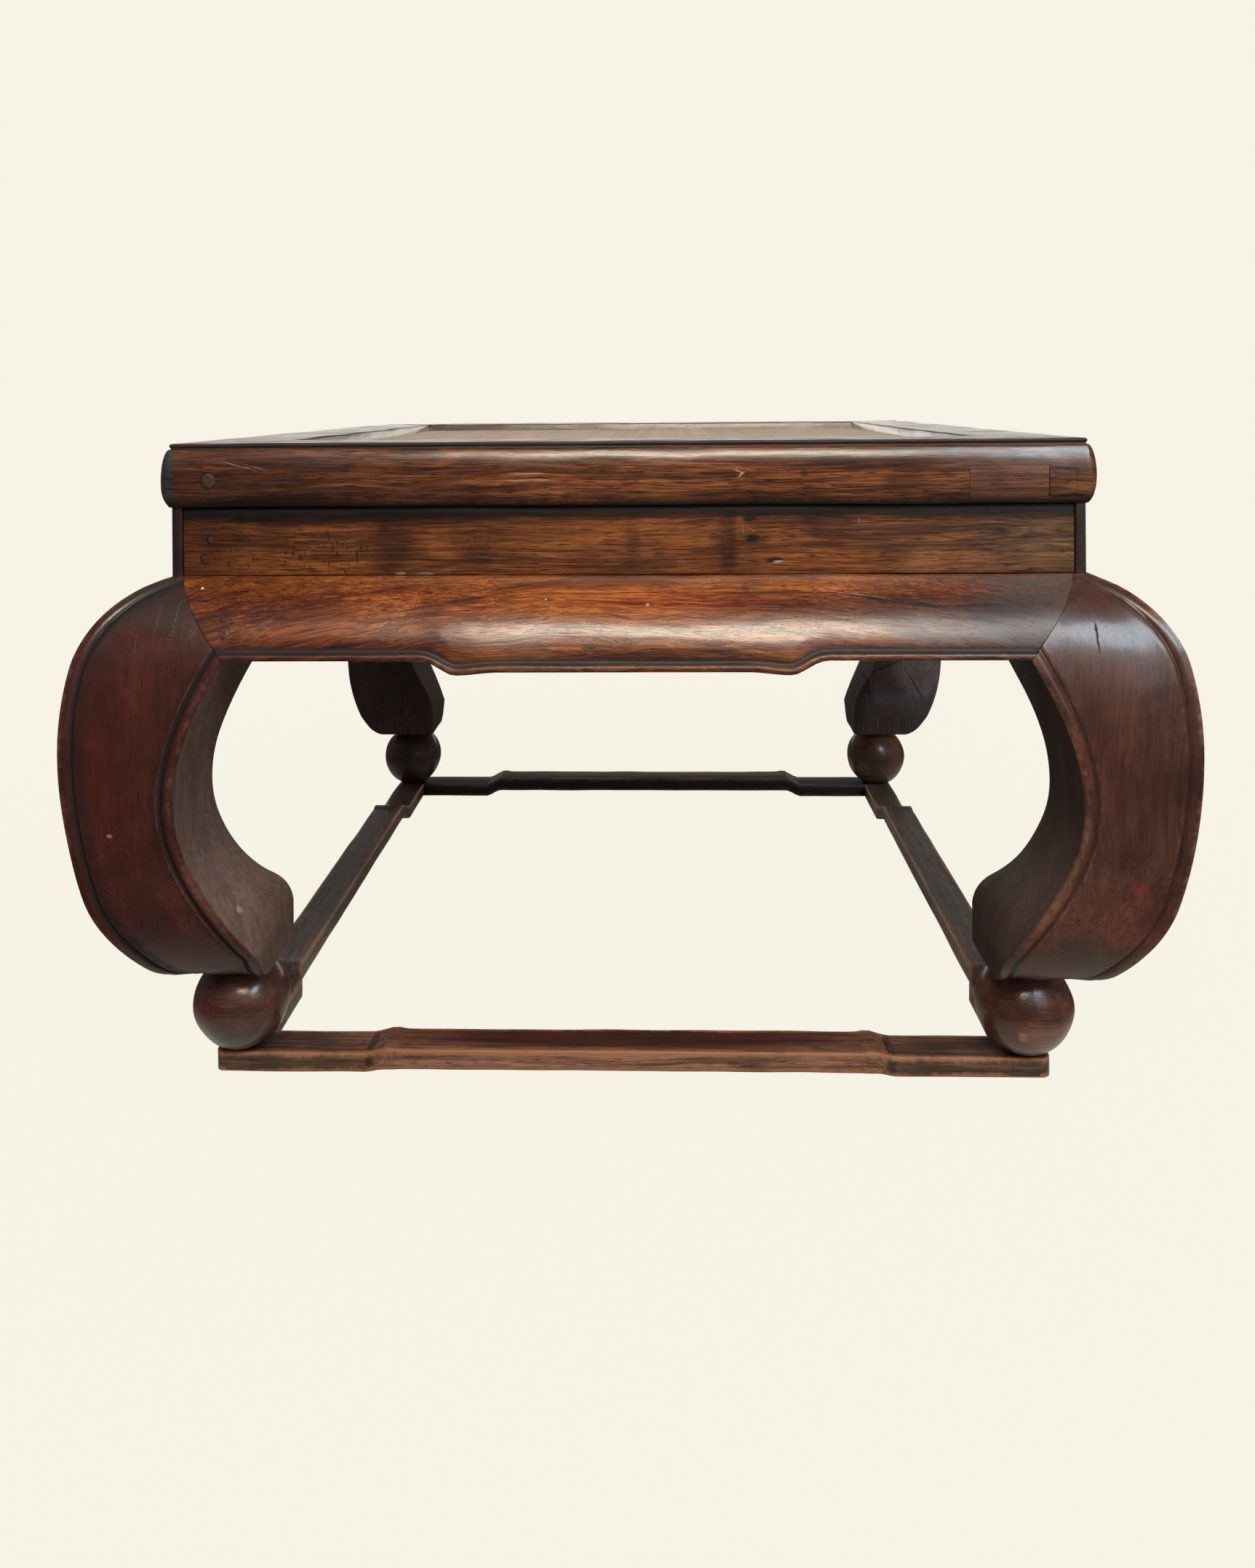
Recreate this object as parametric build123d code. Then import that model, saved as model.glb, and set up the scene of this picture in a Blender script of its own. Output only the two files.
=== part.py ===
from build123d import *
import os

# Kang table: a mitred top frame round a mat-covered panel, a recessed waist,
# bulging aprons, four drum-shaped legs with inturned feet, and four balls
# standing on a humpbacked base frame.
# Millimetres.  Origin on the floor under the middle of the table, +Z up,
# front at -Y.  Plan offsets are counted inward from the top's upper edge.

# ---- driving dimensions --------------------------------------------------

# Top frame
top_width = 616.0
top_depth = 656.0
top_thickness = 44.0
rail_width = 62.0
lip_height = 3.5
lip_ledge = 2.2
moulding_bulge = 8.5
moulding_peak_rise = 25.5
moulding_foot = 1.5

# Mitre tenons of the top frame, their ends showing in the front and back
rail_tenon_inset = 6.7
rail_tenon_width = 17.6
rail_tenon_rise = 6.0
rail_tenon_thickness = 18.0
tenon_clearance = 0.1

# Panel
mat_recess = 6.5
mat_thickness = 2.5
mat_edge_gap = 2.0
board_thickness = 9.0
board_edge_gap = 0.5
tongue_length = 7.0
tongue_thickness = 4.5
groove_clearance = 0.2
groove_end_gap = 1.0
batten_spacing = 220.0
batten_width = 34.0
batten_height = 22.0
batten_tenon_length = 14.0
batten_tenon_width = 22.0
batten_tenon_thickness = 10.0
batten_tenon_rise = 4.0

# Waist
waist_height = 47.0
waist_setback = 0.5
waist_thickness = 10.0
waist_lap_thickness = 4.0
post_strip = 7.0
post_inset = 54.0

# Legs
leg_height = 272.7
belly_overhang = 55.3
shoulder_overhang = 2.0
sole_start = 1.0
toe_reach = 61.3
toe_height = 27.5
mitre_top_inset = 8.0
mitre_foot_inset = 49.0
leg_tenon_side = 12.0
leg_tenon_height = 20.0
leg_tenon_near = 12.0
leg_tenon_far = 32.0
tenon_end_gap = 1.0

# The outer curve leaves the belly upright, up to the shoulder and down to
# the sole.  Points are shares of the belly's overhang and of the leg's height.
belly_rise_share = 0.619
shoulder_shares = [(0.906, 0.806), (0.718, 0.901), (0.450, 0.960)]
calf_shares = [(0.940, 0.417), (0.806, 0.255), (0.586, 0.132), (0.271, 0.036)]
# The inner curve leaves the throat upright, up to the apron and down to the
# toe.  Points are shares of the toe's reach and of the leg's height.
throat_share = (0.297, 0.473)
upper_inner_shares = [(0.375, 0.600), (0.538, 0.703)]
lower_inner_shares = [(0.367, 0.369), (0.522, 0.281), (0.816, 0.188)]

# Aprons
apron_edge_rise = 48.2
apron_drop = 7.0
apron_drop_inset = 177.0
apron_drop_run = 51.0
apron_crest_run = 24.0
apron_crest_dip = 1.8
apron_thickness = 26.0
apron_top_thickness = 13.0
apron_web_rise = 6.0
apron_hollow_in = 4.0

# Balls between the feet and the base
ball_diameter = 67.0
ball_inset = 33.0
ball_height = 62.8
dowel_radius = 8.0
dowel_up = 12.0
dowel_down = 4.5
dowel_clearance = 0.15

# Base frame
base_inset = 18.0
base_width = 30.0
base_thickness = 13.5
base_corner_radius = 8.0
hump_rise = 5.0
hump_step = 5.0
hump_inset = 105.0
hump_shoulder = 27.0
base_tenon_inset = 8.5
base_tenon_width = 18.0
base_tenon_rise = 2.0
base_tenon_thickness = 6.0

# Round pegs, and a let-in repair slip in the front rail
peg_clearance = 0.05
rail_peg_radius = 5.6
rail_peg_inset = 26.3
rail_peg_rise = 19.2
rail_peg_depth = 11.0
waist_peg_radius = 2.8
waist_peg_depth = 20.0
waist_peg_spots = [(24.9, 24.8), (20.3, 11.8)]
apron_peg_radius = 3.2
apron_peg_reach = 15.0
apron_peg_spots = [(46.3, -21.0), (48.4, -31.0)]
slip_inset = 25.0
slip_length = 52.0
slip_rise = 3.6
slip_height = 22.5
slip_depth = 6.0

# ---- levels --------------------------------------------------------------

base_top = base_thickness
sole_z = base_top + ball_height
apron_top_z = sole_z + leg_height
waist_top_z = apron_top_z + waist_height
top_z = waist_top_z + top_thickness
apron_edge_z = apron_top_z - apron_edge_rise
apron_centre_z = apron_edge_z - apron_drop
apron_lowest_z = apron_centre_z - apron_crest_dip
mat_top_z = top_z - mat_recess
board_top_z = mat_top_z - mat_thickness
board_bottom_z = board_top_z - board_thickness
batten_bottom_z = board_bottom_z - batten_height

opening_width = top_width - 2 * rail_width
opening_depth = top_depth - 2 * rail_width
base_outer_width = top_width - 2 * base_inset
base_outer_depth = top_depth - 2 * base_inset
far = 2 * belly_overhang


# ---- helpers -------------------------------------------------------------

def block(x0, x1, y0, y1, z0, z1):
    """Box between two corners."""
    centre = Pos((x0 + x1) / 2, (y0 + y1) / 2, (z0 + z1) / 2)
    return centre * Box(x1 - x0, y1 - y0, z1 - z0)


def along(section_lines, length):
    """Prism along X, centred, from lines drawn as (inset, height)."""
    face = Plane.YZ * make_face(section_lines)
    return extrude(face, amount=length / 2, both=True)


def through(outline_lines, start, end):
    """Prism along Y from lines drawn as (x, height)."""
    face = Plane.XZ * make_face(outline_lines)
    return Pos(0, start, 0) * extrude(face, amount=start - end)


def arc_chain(start, direction, points):
    """Arcs through the points, each leaving the one before it tangentially."""
    arcs = []
    for point in points:
        arc = TangentArc(start, point, tangent=direction)
        arcs.append(arc)
        start = point
        direction = arc % 1
    return Curve(children=arcs)


def place(piece, side, inset=0.0):
    """Sets a piece that was made facing -Y, inset counted from y = 0, on one side."""
    half_x = top_width / 2 - inset
    half_y = top_depth / 2 - inset
    spots = {
        "front": Pos(0, -half_y, 0) * Rot(0, 0, 0),
        "back": Pos(0, half_y, 0) * Rot(0, 0, 180),
        "left": Pos(-half_x, 0, 0) * Rot(0, 0, -90),
        "right": Pos(half_x, 0, 0) * Rot(0, 0, 90),
    }
    return spots[side] * piece


def mitred(piece, length, depth):
    """Cuts both ends of a piece at 45 degrees in plan."""
    half = length / 2
    corners = [
        (-half - far, -far),
        (half + far, -far),
        (half - depth, depth),
        (-half + depth, depth),
    ]
    plan = extrude(make_face(Polyline(*corners, close=True)), amount=top_z)
    return piece & plan


def corner_copies(piece):
    """The front left piece and its mirror images in the other corners."""
    front_right = mirror(piece, about=Plane.YZ)
    return {
        "front_left": piece,
        "front_right": front_right,
        "back_left": mirror(piece, about=Plane.XZ),
        "back_right": mirror(front_right, about=Plane.XZ),
    }


# ---- top frame -----------------------------------------------------------

def rail_section():
    """Flat top, thin upright lip, thumb moulding, and a groove for the panel."""
    lip_z = top_z - lip_height
    groove_low = board_bottom_z - groove_clearance
    groove_high = board_bottom_z + tongue_thickness + groove_clearance
    groove_in = rail_width - tongue_length - groove_end_gap
    ledge = (-lip_ledge, lip_z)
    peak = (-moulding_bulge, waist_top_z + moulding_peak_rise)
    foot = (-moulding_foot, waist_top_z)
    moulding = arc_chain(peak, (0, 1), [ledge]) + arc_chain(peak, (0, -1), [foot])
    upper = Polyline((rail_width, groove_high), (rail_width, top_z), (0, top_z), (0, lip_z), ledge)
    lower = Polyline(
        foot,
        (rail_width, waist_top_z),
        (rail_width, groove_low),
        (groove_in, groove_low),
        (groove_in, groove_high),
        (rail_width, groove_high),
    )
    return upper + moulding + lower


def rail_blank(length):
    return mitred(along(rail_section(), length + 2 * moulding_bulge), length, rail_width)


def rail_tenon(blank, length, end, spare):
    """The through tenon at one end of a front or back rail, shaped by its face."""
    z0 = waist_top_z + rail_tenon_rise
    z1 = z0 + rail_tenon_thickness
    inner = length / 2 - rail_tenon_inset
    outer = inner - rail_tenon_width
    low, high = sorted((end * inner, end * outer))
    cutter = block(low - spare, high + spare, -far, rail_width, z0 - spare, z1 + spare)
    return blank & cutter


def leg_tenon_blocks(spare, end_gap):
    """Two square tenons on the front left post, one into each rail of the mitre."""
    z1 = waist_top_z + leg_tenon_height + end_gap
    blocks = []
    for u, v in ((leg_tenon_far, leg_tenon_near), (leg_tenon_near, leg_tenon_far)):
        x = u - top_width / 2
        y = v - top_depth / 2
        tenon = block(
            x - spare,
            x + leg_tenon_side + spare,
            y - spare,
            y + leg_tenon_side + spare,
            waist_top_z,
            z1,
        )
        blocks.append(tenon)
    return blocks


def batten_tenon(batten_y, spare):
    reach = opening_width / 2 + batten_tenon_length + spare
    low = batten_bottom_z + batten_tenon_rise - spare
    high = low + batten_tenon_thickness + 2 * spare
    half = batten_tenon_width / 2 + spare
    return block(-reach, reach, batten_y - half, batten_y + half, low, high)


def repair_slip(rail):
    """A let-in slip at the right end of the front rail."""
    x1 = top_width / 2 - slip_inset
    low = waist_top_z + slip_rise
    y0 = -top_depth / 2
    return rail & block(x1 - slip_length, x1, y0 - far, y0 + slip_depth, low, low + slip_height)


def rail_peg(rail, spare):
    """The round peg at the left end of the front rail."""
    x = rail_peg_inset - top_width / 2
    y = rail_peg_depth - top_depth / 2
    z = waist_top_z + rail_peg_rise
    return rail & round_bar(x, y, z, rail_peg_radius + spare, far)


def round_bar(x, y, z, radius, length):
    """Cylinder that runs from (x, y, z) towards the front."""
    return Pos(x, y, z) * extrude(Plane.XZ * Circle(radius), amount=length)


def top_frame():
    blanks = {
        "front": place(rail_blank(top_width), "front"),
        "back": place(rail_blank(top_width), "back"),
        "left": place(rail_blank(top_depth), "left"),
        "right": place(rail_blank(top_depth), "right"),
    }
    rails = dict(blanks)
    made = rail_blank(top_width)
    ends = {("front", -1): "left", ("front", 1): "right", ("back", -1): "right", ("back", 1): "left"}
    for (side, end), neighbour in ends.items():
        mortise = place(rail_tenon(made, top_width, end, tenon_clearance), side)
        tenon = place(rail_tenon(made, top_width, end, 0.0), side)
        rails[side] = rails[side] - mortise
        rails[neighbour] = rails[neighbour] + tenon
    for socket in leg_tenon_blocks(tenon_clearance, tenon_end_gap):
        for copy in corner_copies(socket).values():
            for side in rails:
                rails[side] = rails[side] - copy
    for batten_y in (-batten_spacing / 2, batten_spacing / 2):
        socket = batten_tenon(batten_y, tenon_clearance)
        rails["left"] = rails["left"] - socket
        rails["right"] = rails["right"] - socket
    peg_hole = rail_peg(blanks["front"], peg_clearance)
    slip = repair_slip(rails["front"])
    rails["front"] = rails["front"] - slip - peg_hole
    rails["left"] = rails["left"] - peg_hole
    pieces = {"top_rail_" + side: rail for side, rail in rails.items()}
    pieces["top_rail_slip"] = slip
    pieces["top_rail_peg"] = rail_peg(blanks["front"], 0.0)
    return pieces


# ---- panel ---------------------------------------------------------------

def panel():
    half_w = opening_width / 2
    half_d = opening_depth / 2
    gap = board_edge_gap
    board = block(gap - half_w, half_w - gap, gap - half_d, half_d - gap, board_bottom_z, board_top_z)
    out = tongue_length
    tongue_z = board_bottom_z + tongue_thickness
    tongue = block(-half_w - out, half_w + out, -half_d - out, half_d + out, board_bottom_z, tongue_z)
    edge = mat_edge_gap
    mat = block(edge - half_w, half_w - edge, edge - half_d, half_d - edge, board_top_z, mat_top_z)
    pieces = {"mat_board": board + tongue, "woven_mat": mat}
    for name, batten_y in (("front", -batten_spacing / 2), ("back", batten_spacing / 2)):
        near = batten_y - batten_width / 2
        body = block(-half_w, half_w, near, near + batten_width, batten_bottom_z, board_bottom_z)
        pieces["mat_batten_" + name] = body + batten_tenon(batten_y, 0.0)
    return pieces


# ---- waist ---------------------------------------------------------------

def waist_lap(length, front):
    """The thin face of a waist board, which reaches over both posts."""
    half = length / 2 + moulding_foot - post_strip
    back = waist_setback + waist_lap_thickness
    return block(-half, half, front, back, apron_top_z, waist_top_z)


def waist_board(length):
    """A board let in between two posts, its thin ends lapping over them."""
    half = length / 2 - post_inset
    back = waist_setback + waist_thickness
    body = block(-half, half, waist_setback, back, apron_top_z, waist_top_z)
    return waist_lap(length, waist_setback) + body


# ---- aprons --------------------------------------------------------------

def scaled(shape, reach):
    """Turns shares into (inset, height)."""
    return [(share * reach, sole_z + rise * leg_height) for share, rise in shape]


def bulge_lines(back):
    """Outline of all that lies behind the outer curve which aprons and legs share."""
    belly = (-belly_overhang, sole_z + belly_rise_share * leg_height)
    shoulder = (-shoulder_overhang, apron_top_z)
    sole = (sole_start, sole_z)
    upper = arc_chain(belly, (0, 1), scaled(shoulder_shares, -belly_overhang) + [shoulder])
    lower = arc_chain(belly, (0, -1), scaled(calf_shares, -belly_overhang) + [sole])
    return upper + lower + Polyline(sole, (back, sole_z), (back, apron_top_z), shoulder)


def apron_hollow(length):
    """What is carved away behind an apron so that it keeps an even thickness."""
    top_in = apron_top_thickness - shoulder_overhang
    web_z = apron_top_z - apron_web_rise
    low_z = apron_lowest_z - apron_web_rise
    low_in = apron_thickness - belly_overhang
    middle = ((top_in + low_in) / 2 - apron_hollow_in, (web_z + low_z) / 2)
    arc = ThreePointArc((low_in, low_z), middle, (top_in, web_z))
    rest = Polyline((top_in, web_z), (top_in, top_z), (far, top_z), (far, low_z), (low_in, low_z))
    return along(arc + rest, length)


def apron_outline(length):
    """Front view: mitred ends, and a lower edge that drops along the middle."""
    half_top = length / 2 - mitre_top_inset
    half_foot = length / 2 - mitre_foot_inset
    drop_x = length / 2 - apron_drop_inset
    crest_x = drop_x - apron_crest_run
    flat_x = drop_x - apron_drop_run
    mid_x = (drop_x + crest_x) / 2
    mid_z = (apron_edge_z + apron_lowest_z) / 2
    drops = Curve()
    for end in (-1, 1):
        ogee = [(end * mid_x, mid_z), (end * crest_x, apron_lowest_z)]
        drops += arc_chain((end * drop_x, apron_edge_z), (-end, 0), ogee)
        crest_end = [(end * flat_x, apron_centre_z)]
        drops += arc_chain((end * crest_x, apron_lowest_z), (-end, 0), crest_end)
    left_end = Polyline((-half_top, apron_top_z), (-half_foot, apron_edge_z), (-drop_x, apron_edge_z))
    right_end = Polyline(
        (drop_x, apron_edge_z),
        (half_foot, apron_edge_z),
        (half_top, apron_top_z),
        (-half_top, apron_top_z),
    )
    middle = Line((-flat_x, apron_centre_z), (flat_x, apron_centre_z))
    return left_end + drops + middle + right_end


def apron(length):
    board = along(bulge_lines(apron_top_thickness), length) - apron_hollow(length)
    return mitred(board & through(apron_outline(length), -far, far), length, far)


# ---- legs ----------------------------------------------------------------

def throat_lines():
    """Outline of all that lies outside the inner curve, its toe and its mitre."""
    throat = scaled([throat_share], toe_reach)[0]
    mitre_foot = (mitre_foot_inset, apron_edge_z)
    toe_top = (toe_reach, sole_z + toe_height)
    upper = arc_chain(throat, (0, 1), scaled(upper_inner_shares, toe_reach) + [mitre_foot])
    lower = arc_chain(throat, (0, -1), scaled(lower_inner_shares, toe_reach) + [toe_top])
    rest = Polyline(
        mitre_foot,
        (mitre_top_inset, apron_top_z),
        (-far, apron_top_z),
        (-far, sole_z),
        (toe_reach, sole_z),
        toe_top,
    )
    return upper + lower + rest


def leg_body():
    """Square-sectioned leg with the same C-shaped view from the front and the side.

    It is made as one half, split corner to corner in plan, and its mirror image.
    """
    corner_half = Polyline((-far, -far), (far, far), (-far, far), close=True)
    wedge = extrude(make_face(corner_half), amount=top_z)
    half = through(bulge_lines(far), -far, far) & wedge
    half = half & along(throat_lines(), 2 * far)
    return half + mirror(half, about=Plane(origin=(0, 0, 0), z_dir=(1, -1, 0)))


def post():
    low = -moulding_foot
    high = post_inset
    return block(low, high, low, high, apron_edge_z, waist_top_z)


def front_left_leg(cutters):
    """The leg with its post, cut back by what overlaps it, and its tenons."""
    corner = Pos(-top_width / 2, -top_depth / 2, 0)
    leg = corner * (leg_body() + post())
    for cutter in cutters:
        leg = leg - cutter
    for tenon in leg_tenon_blocks(0.0, 0.0):
        leg = leg + tenon
    return leg - ball_dowel(dowel_clearance)


# ---- balls ---------------------------------------------------------------

def ball_axis():
    return Pos(ball_inset - top_width / 2, ball_inset - top_depth / 2, 0)


def ball_dowel(spare):
    low = base_top - dowel_down - spare
    high = sole_z + dowel_up + spare
    rod = Cylinder(dowel_radius + spare, high - low, align=(Align.CENTER, Align.CENTER, Align.MIN))
    return ball_axis() * Pos(0, 0, low) * rod


def ball():
    """A turned ball with flats where it bears, and a dowel up and down."""
    side = ball_diameter
    centre_z = base_top + ball_height / 2
    sphere = Pos(0, 0, centre_z) * Sphere(ball_diameter / 2)
    flats = block(-side, side, -side, side, base_top, sole_z)
    return ball_axis() * (sphere & flats) + ball_dowel(0.0)


# ---- base frame ----------------------------------------------------------

def shouldered_edge(length, level, shift):
    """Line along a base rail: straight ends, sloped shoulders, shifted middle."""
    start = length / 2 - hump_inset
    crest = start - hump_shoulder
    return [
        (-length / 2, level),
        (-start, level),
        (-crest, level + shift),
        (crest, level + shift),
        (start, level),
        (length / 2, level),
    ]


def base_blank(length):
    """A rail whose middle stands higher than its ends and further out."""
    lower = shouldered_edge(length, 0.0, hump_rise)
    upper = shouldered_edge(length, base_thickness, hump_rise)
    side_view = Polyline(*lower, *reversed(upper), close=True)
    outer = shouldered_edge(length, 0.0, -hump_step)
    inner = shouldered_edge(length, base_width, -hump_step)
    plan_view = Polyline(*outer, *reversed(inner), close=True)
    plan = extrude(make_face(plan_view), amount=base_thickness + hump_rise)
    return mitred(through(side_view, -far, far) & plan, length, base_width)


def corner_waste():
    """What rounding takes off the outer corner of the base."""
    x = -base_outer_width / 2
    y = -base_outer_depth / 2
    r = base_corner_radius
    square = block(x, x + r, y, y + r, 0, base_thickness)
    low_end = (Align.CENTER, Align.CENTER, Align.MIN)
    return square - Pos(x + r, y + r, 0) * Cylinder(r, base_thickness, align=low_end)


def base_tenon(blank, length, end, spare):
    inner = length / 2 - base_tenon_inset
    outer = inner - base_tenon_width
    low, high = sorted((end * inner, end * outer))
    z0 = base_tenon_rise
    z1 = z0 + base_tenon_thickness
    return blank & block(low - spare, high + spare, 0, base_width, z0 - spare, z1 + spare)


def base_frame():
    made = base_blank(base_outer_width)
    rails = {
        "front": place(made, "front", base_inset),
        "back": place(made, "back", base_inset),
        "left": place(base_blank(base_outer_depth), "left", base_inset),
        "right": place(base_blank(base_outer_depth), "right", base_inset),
    }
    ends = {("front", -1): "left", ("front", 1): "right", ("back", -1): "right", ("back", 1): "left"}
    for (side, end), neighbour in ends.items():
        mortise = place(base_tenon(made, base_outer_width, end, tenon_clearance), side, base_inset)
        tenon = place(base_tenon(made, base_outer_width, end, 0.0), side, base_inset)
        rails[side] = rails[side] - mortise
        rails[neighbour] = rails[neighbour] + tenon
    cuts = list(corner_copies(ball_dowel(dowel_clearance)).values())
    cuts += list(corner_copies(corner_waste()).values())
    for side in rails:
        for cut in cuts:
            rails[side] = rails[side] - cut
    return {"base_rail_" + side: rail for side, rail in rails.items()}


# ---- pegs ----------------------------------------------------------------

def waist_pegs(spare):
    """Pegs through the left lap of the front waist board into its post."""
    face_y = waist_setback - top_depth / 2
    pegs = []
    for inset, rise in waist_peg_spots:
        x = inset - top_width / 2
        back_y = face_y + waist_peg_depth
        pegs.append(round_bar(x, back_y, apron_top_z + rise, waist_peg_radius + spare, waist_peg_depth))
    return pegs


def apron_pegs(spare):
    """Pegs through the left end of the front apron into the leg."""
    envelope = place(along(bulge_lines(far), top_width), "front")
    pegs = []
    for inset, rise in apron_peg_spots:
        x = inset - top_width / 2
        y = apron_peg_reach - top_depth / 2
        bar = round_bar(x, y, apron_top_z + rise, apron_peg_radius + spare, far)
        pegs.append(bar & envelope)
    return pegs


# ---- assembly ------------------------------------------------------------

def build():
    pieces = {}
    pieces.update(top_frame())
    pieces.update(panel())

    aprons = {}
    waists = {}
    for side, length in (("front", top_width), ("back", top_width), ("left", top_depth), ("right", top_depth)):
        aprons[side] = place(apron(length), side)
        waists[side] = place(waist_board(length), side)
    rebates = [
        place(waist_lap(top_width, -far), "front"),
        place(waist_lap(top_depth, -far), "left"),
    ]
    leg = front_left_leg([aprons["front"], aprons["left"]] + rebates)
    legs = corner_copies(leg)
    for hole in waist_pegs(peg_clearance):
        waists["front"] = waists["front"] - hole
        legs["front_left"] = legs["front_left"] - hole
    for hole in apron_pegs(peg_clearance):
        aprons["front"] = aprons["front"] - hole
        legs["front_left"] = legs["front_left"] - hole
    for side in aprons:
        pieces["waist_" + side] = waists[side]
        pieces["apron_" + side] = aprons[side]
    for corner, solid in legs.items():
        pieces["leg_" + corner] = solid
    for corner, solid in corner_copies(ball()).items():
        pieces["ball_" + corner] = solid
    pieces["waist_pegs"] = Compound(children=[Part(peg.wrapped) for peg in waist_pegs(0.0)])
    pieces["apron_pegs"] = Compound(children=[Part(peg.wrapped) for peg in apron_pegs(0.0)])
    pieces.update(base_frame())
    return pieces


os.makedirs("parts", exist_ok=True)
for name, solid in build().items():
    export_step(solid, "parts/" + name + ".step")
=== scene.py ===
import cmath
import math

import bmesh
import bpy
from mathutils import Matrix, Vector, noise


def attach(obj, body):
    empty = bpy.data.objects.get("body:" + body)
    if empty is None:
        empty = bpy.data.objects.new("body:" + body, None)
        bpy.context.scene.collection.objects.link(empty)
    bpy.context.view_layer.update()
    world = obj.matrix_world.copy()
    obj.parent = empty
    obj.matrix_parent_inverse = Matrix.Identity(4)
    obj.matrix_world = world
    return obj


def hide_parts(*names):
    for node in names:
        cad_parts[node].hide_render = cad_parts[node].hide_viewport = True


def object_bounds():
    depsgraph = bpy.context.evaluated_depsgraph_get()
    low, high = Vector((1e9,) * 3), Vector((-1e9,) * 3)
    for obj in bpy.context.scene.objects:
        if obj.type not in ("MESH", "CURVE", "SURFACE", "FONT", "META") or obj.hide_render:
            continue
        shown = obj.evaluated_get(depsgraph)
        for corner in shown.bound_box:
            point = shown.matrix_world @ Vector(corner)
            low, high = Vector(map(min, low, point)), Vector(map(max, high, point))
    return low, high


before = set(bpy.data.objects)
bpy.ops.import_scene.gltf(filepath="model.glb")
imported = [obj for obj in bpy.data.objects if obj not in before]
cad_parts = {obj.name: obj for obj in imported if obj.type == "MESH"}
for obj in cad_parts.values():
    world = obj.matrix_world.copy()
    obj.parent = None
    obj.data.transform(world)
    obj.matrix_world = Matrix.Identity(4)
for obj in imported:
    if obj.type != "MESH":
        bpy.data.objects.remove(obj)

cad_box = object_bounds()

# ==== Base frame ==============================================================
# Four flat hardwood rails lie on the floor, mitred at the corners and held by
# through tenons.  The middle of each rail was left proud, so it stands higher
# and further out than the ends, with sawn shoulders between.

base_width = 0.580
base_depth = 0.620
base_rail_width = 0.030
base_rail_thickness = 0.0135
base_corner_radius = 0.008
base_edge_radius = 0.0013
shoulder_start = 0.105
shoulder_run = 0.016
shoulder_rise = 0.005
shoulder_crest = 0.0012
base_tenon_inset = 0.0085
base_tenon_width = 0.018
base_tenon_low = 0.002
base_tenon_thickness = 0.006
seam = 0.00025
crease = math.radians(38)


def node(tree, kind, inputs=(), **settings):
    """Adds a shader node, with plain values or links on its inputs."""
    made = tree.nodes.new("ShaderNode" + kind)
    for name, value in settings.items():
        setattr(made, name, value)
    for name, value in dict(inputs).items():
        if isinstance(value, bpy.types.NodeSocket):
            tree.links.new(value, made.inputs[name])
        else:
            made.inputs[name].default_value = value
    return made


def mixed(tree, amount, first, second, mode="MIX"):
    """Colour that goes from the first to the second."""
    made = node(tree, "Mix", data_type="RGBA", blend_type=mode, clamp_factor=True)
    for index, value in ((0, amount), (6, first), (7, second)):
        if isinstance(value, bpy.types.NodeSocket):
            tree.links.new(value, made.inputs[index])
        elif index:
            made.inputs[index].default_value = (*value, 1.0)
        else:
            made.inputs[index].default_value = value
    return made.outputs[2]


def sums(tree, mode, first, second):
    """One step of arithmetic on two numbers."""
    return node(tree, "Math", {0: first, 1: second}, operation=mode).outputs[0]


def vectors(tree, mode, first, second):
    """One step of arithmetic on two vectors."""
    return node(tree, "VectorMath", {0: first, 1: second}, operation=mode).outputs[0]


def ranged(tree, value, low, high, to_low=0.0, to_high=1.0):
    """Eased reading of a value between two levels, clamped past them."""
    inputs = {"Value": value, "From Min": low, "From Max": high, "To Min": to_low, "To Max": to_high}
    return node(tree, "MapRange", inputs, interpolation_type="SMOOTHSTEP").outputs[0]


def speckle(tree, place, stretch, detail=3.0, roughness=0.55):
    """Noise from 0 to 1, with so many features in a metre along each axis."""
    finer = vectors(tree, "MULTIPLY", place, stretch)
    inputs = {"Vector": finer, "Scale": 1.0, "Detail": detail, "Roughness": roughness}
    return node(tree, "TexNoise", inputs).outputs[0]


def shaken(tree, place, coloured_noise, amount):
    """Moves a place to and fro by a noise."""
    centred = vectors(tree, "SUBTRACT", coloured_noise, (0.5, 0.5, 0.5))
    shift = node(tree, "VectorMath", {0: centred, "Scale": amount}, operation="SCALE").outputs[0]
    return vectors(tree, "ADD", place, shift)


def share_of_reach(tree, away, reach):
    """How far out of its patch a place lies, 1 being the edge."""
    share = vectors(tree, "DIVIDE", away, reach)
    return node(tree, "VectorMath", {0: share}, operation="LENGTH").outputs[1]


def open_group(name, inputs, outputs):
    """A node group with its named sockets, ready to be filled."""
    tree = bpy.data.node_groups.new(name, "ShaderNodeTree")
    for label, kind in inputs:
        tree.interface.new_socket(label, in_out="INPUT", socket_type="NodeSocket" + kind)
    for label, kind in outputs:
        tree.interface.new_socket(label, in_out="OUTPUT", socket_type="NodeSocket" + kind)
    return tree, tree.nodes.new("NodeGroupInput").outputs, tree.nodes.new("NodeGroupOutput").inputs


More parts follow.
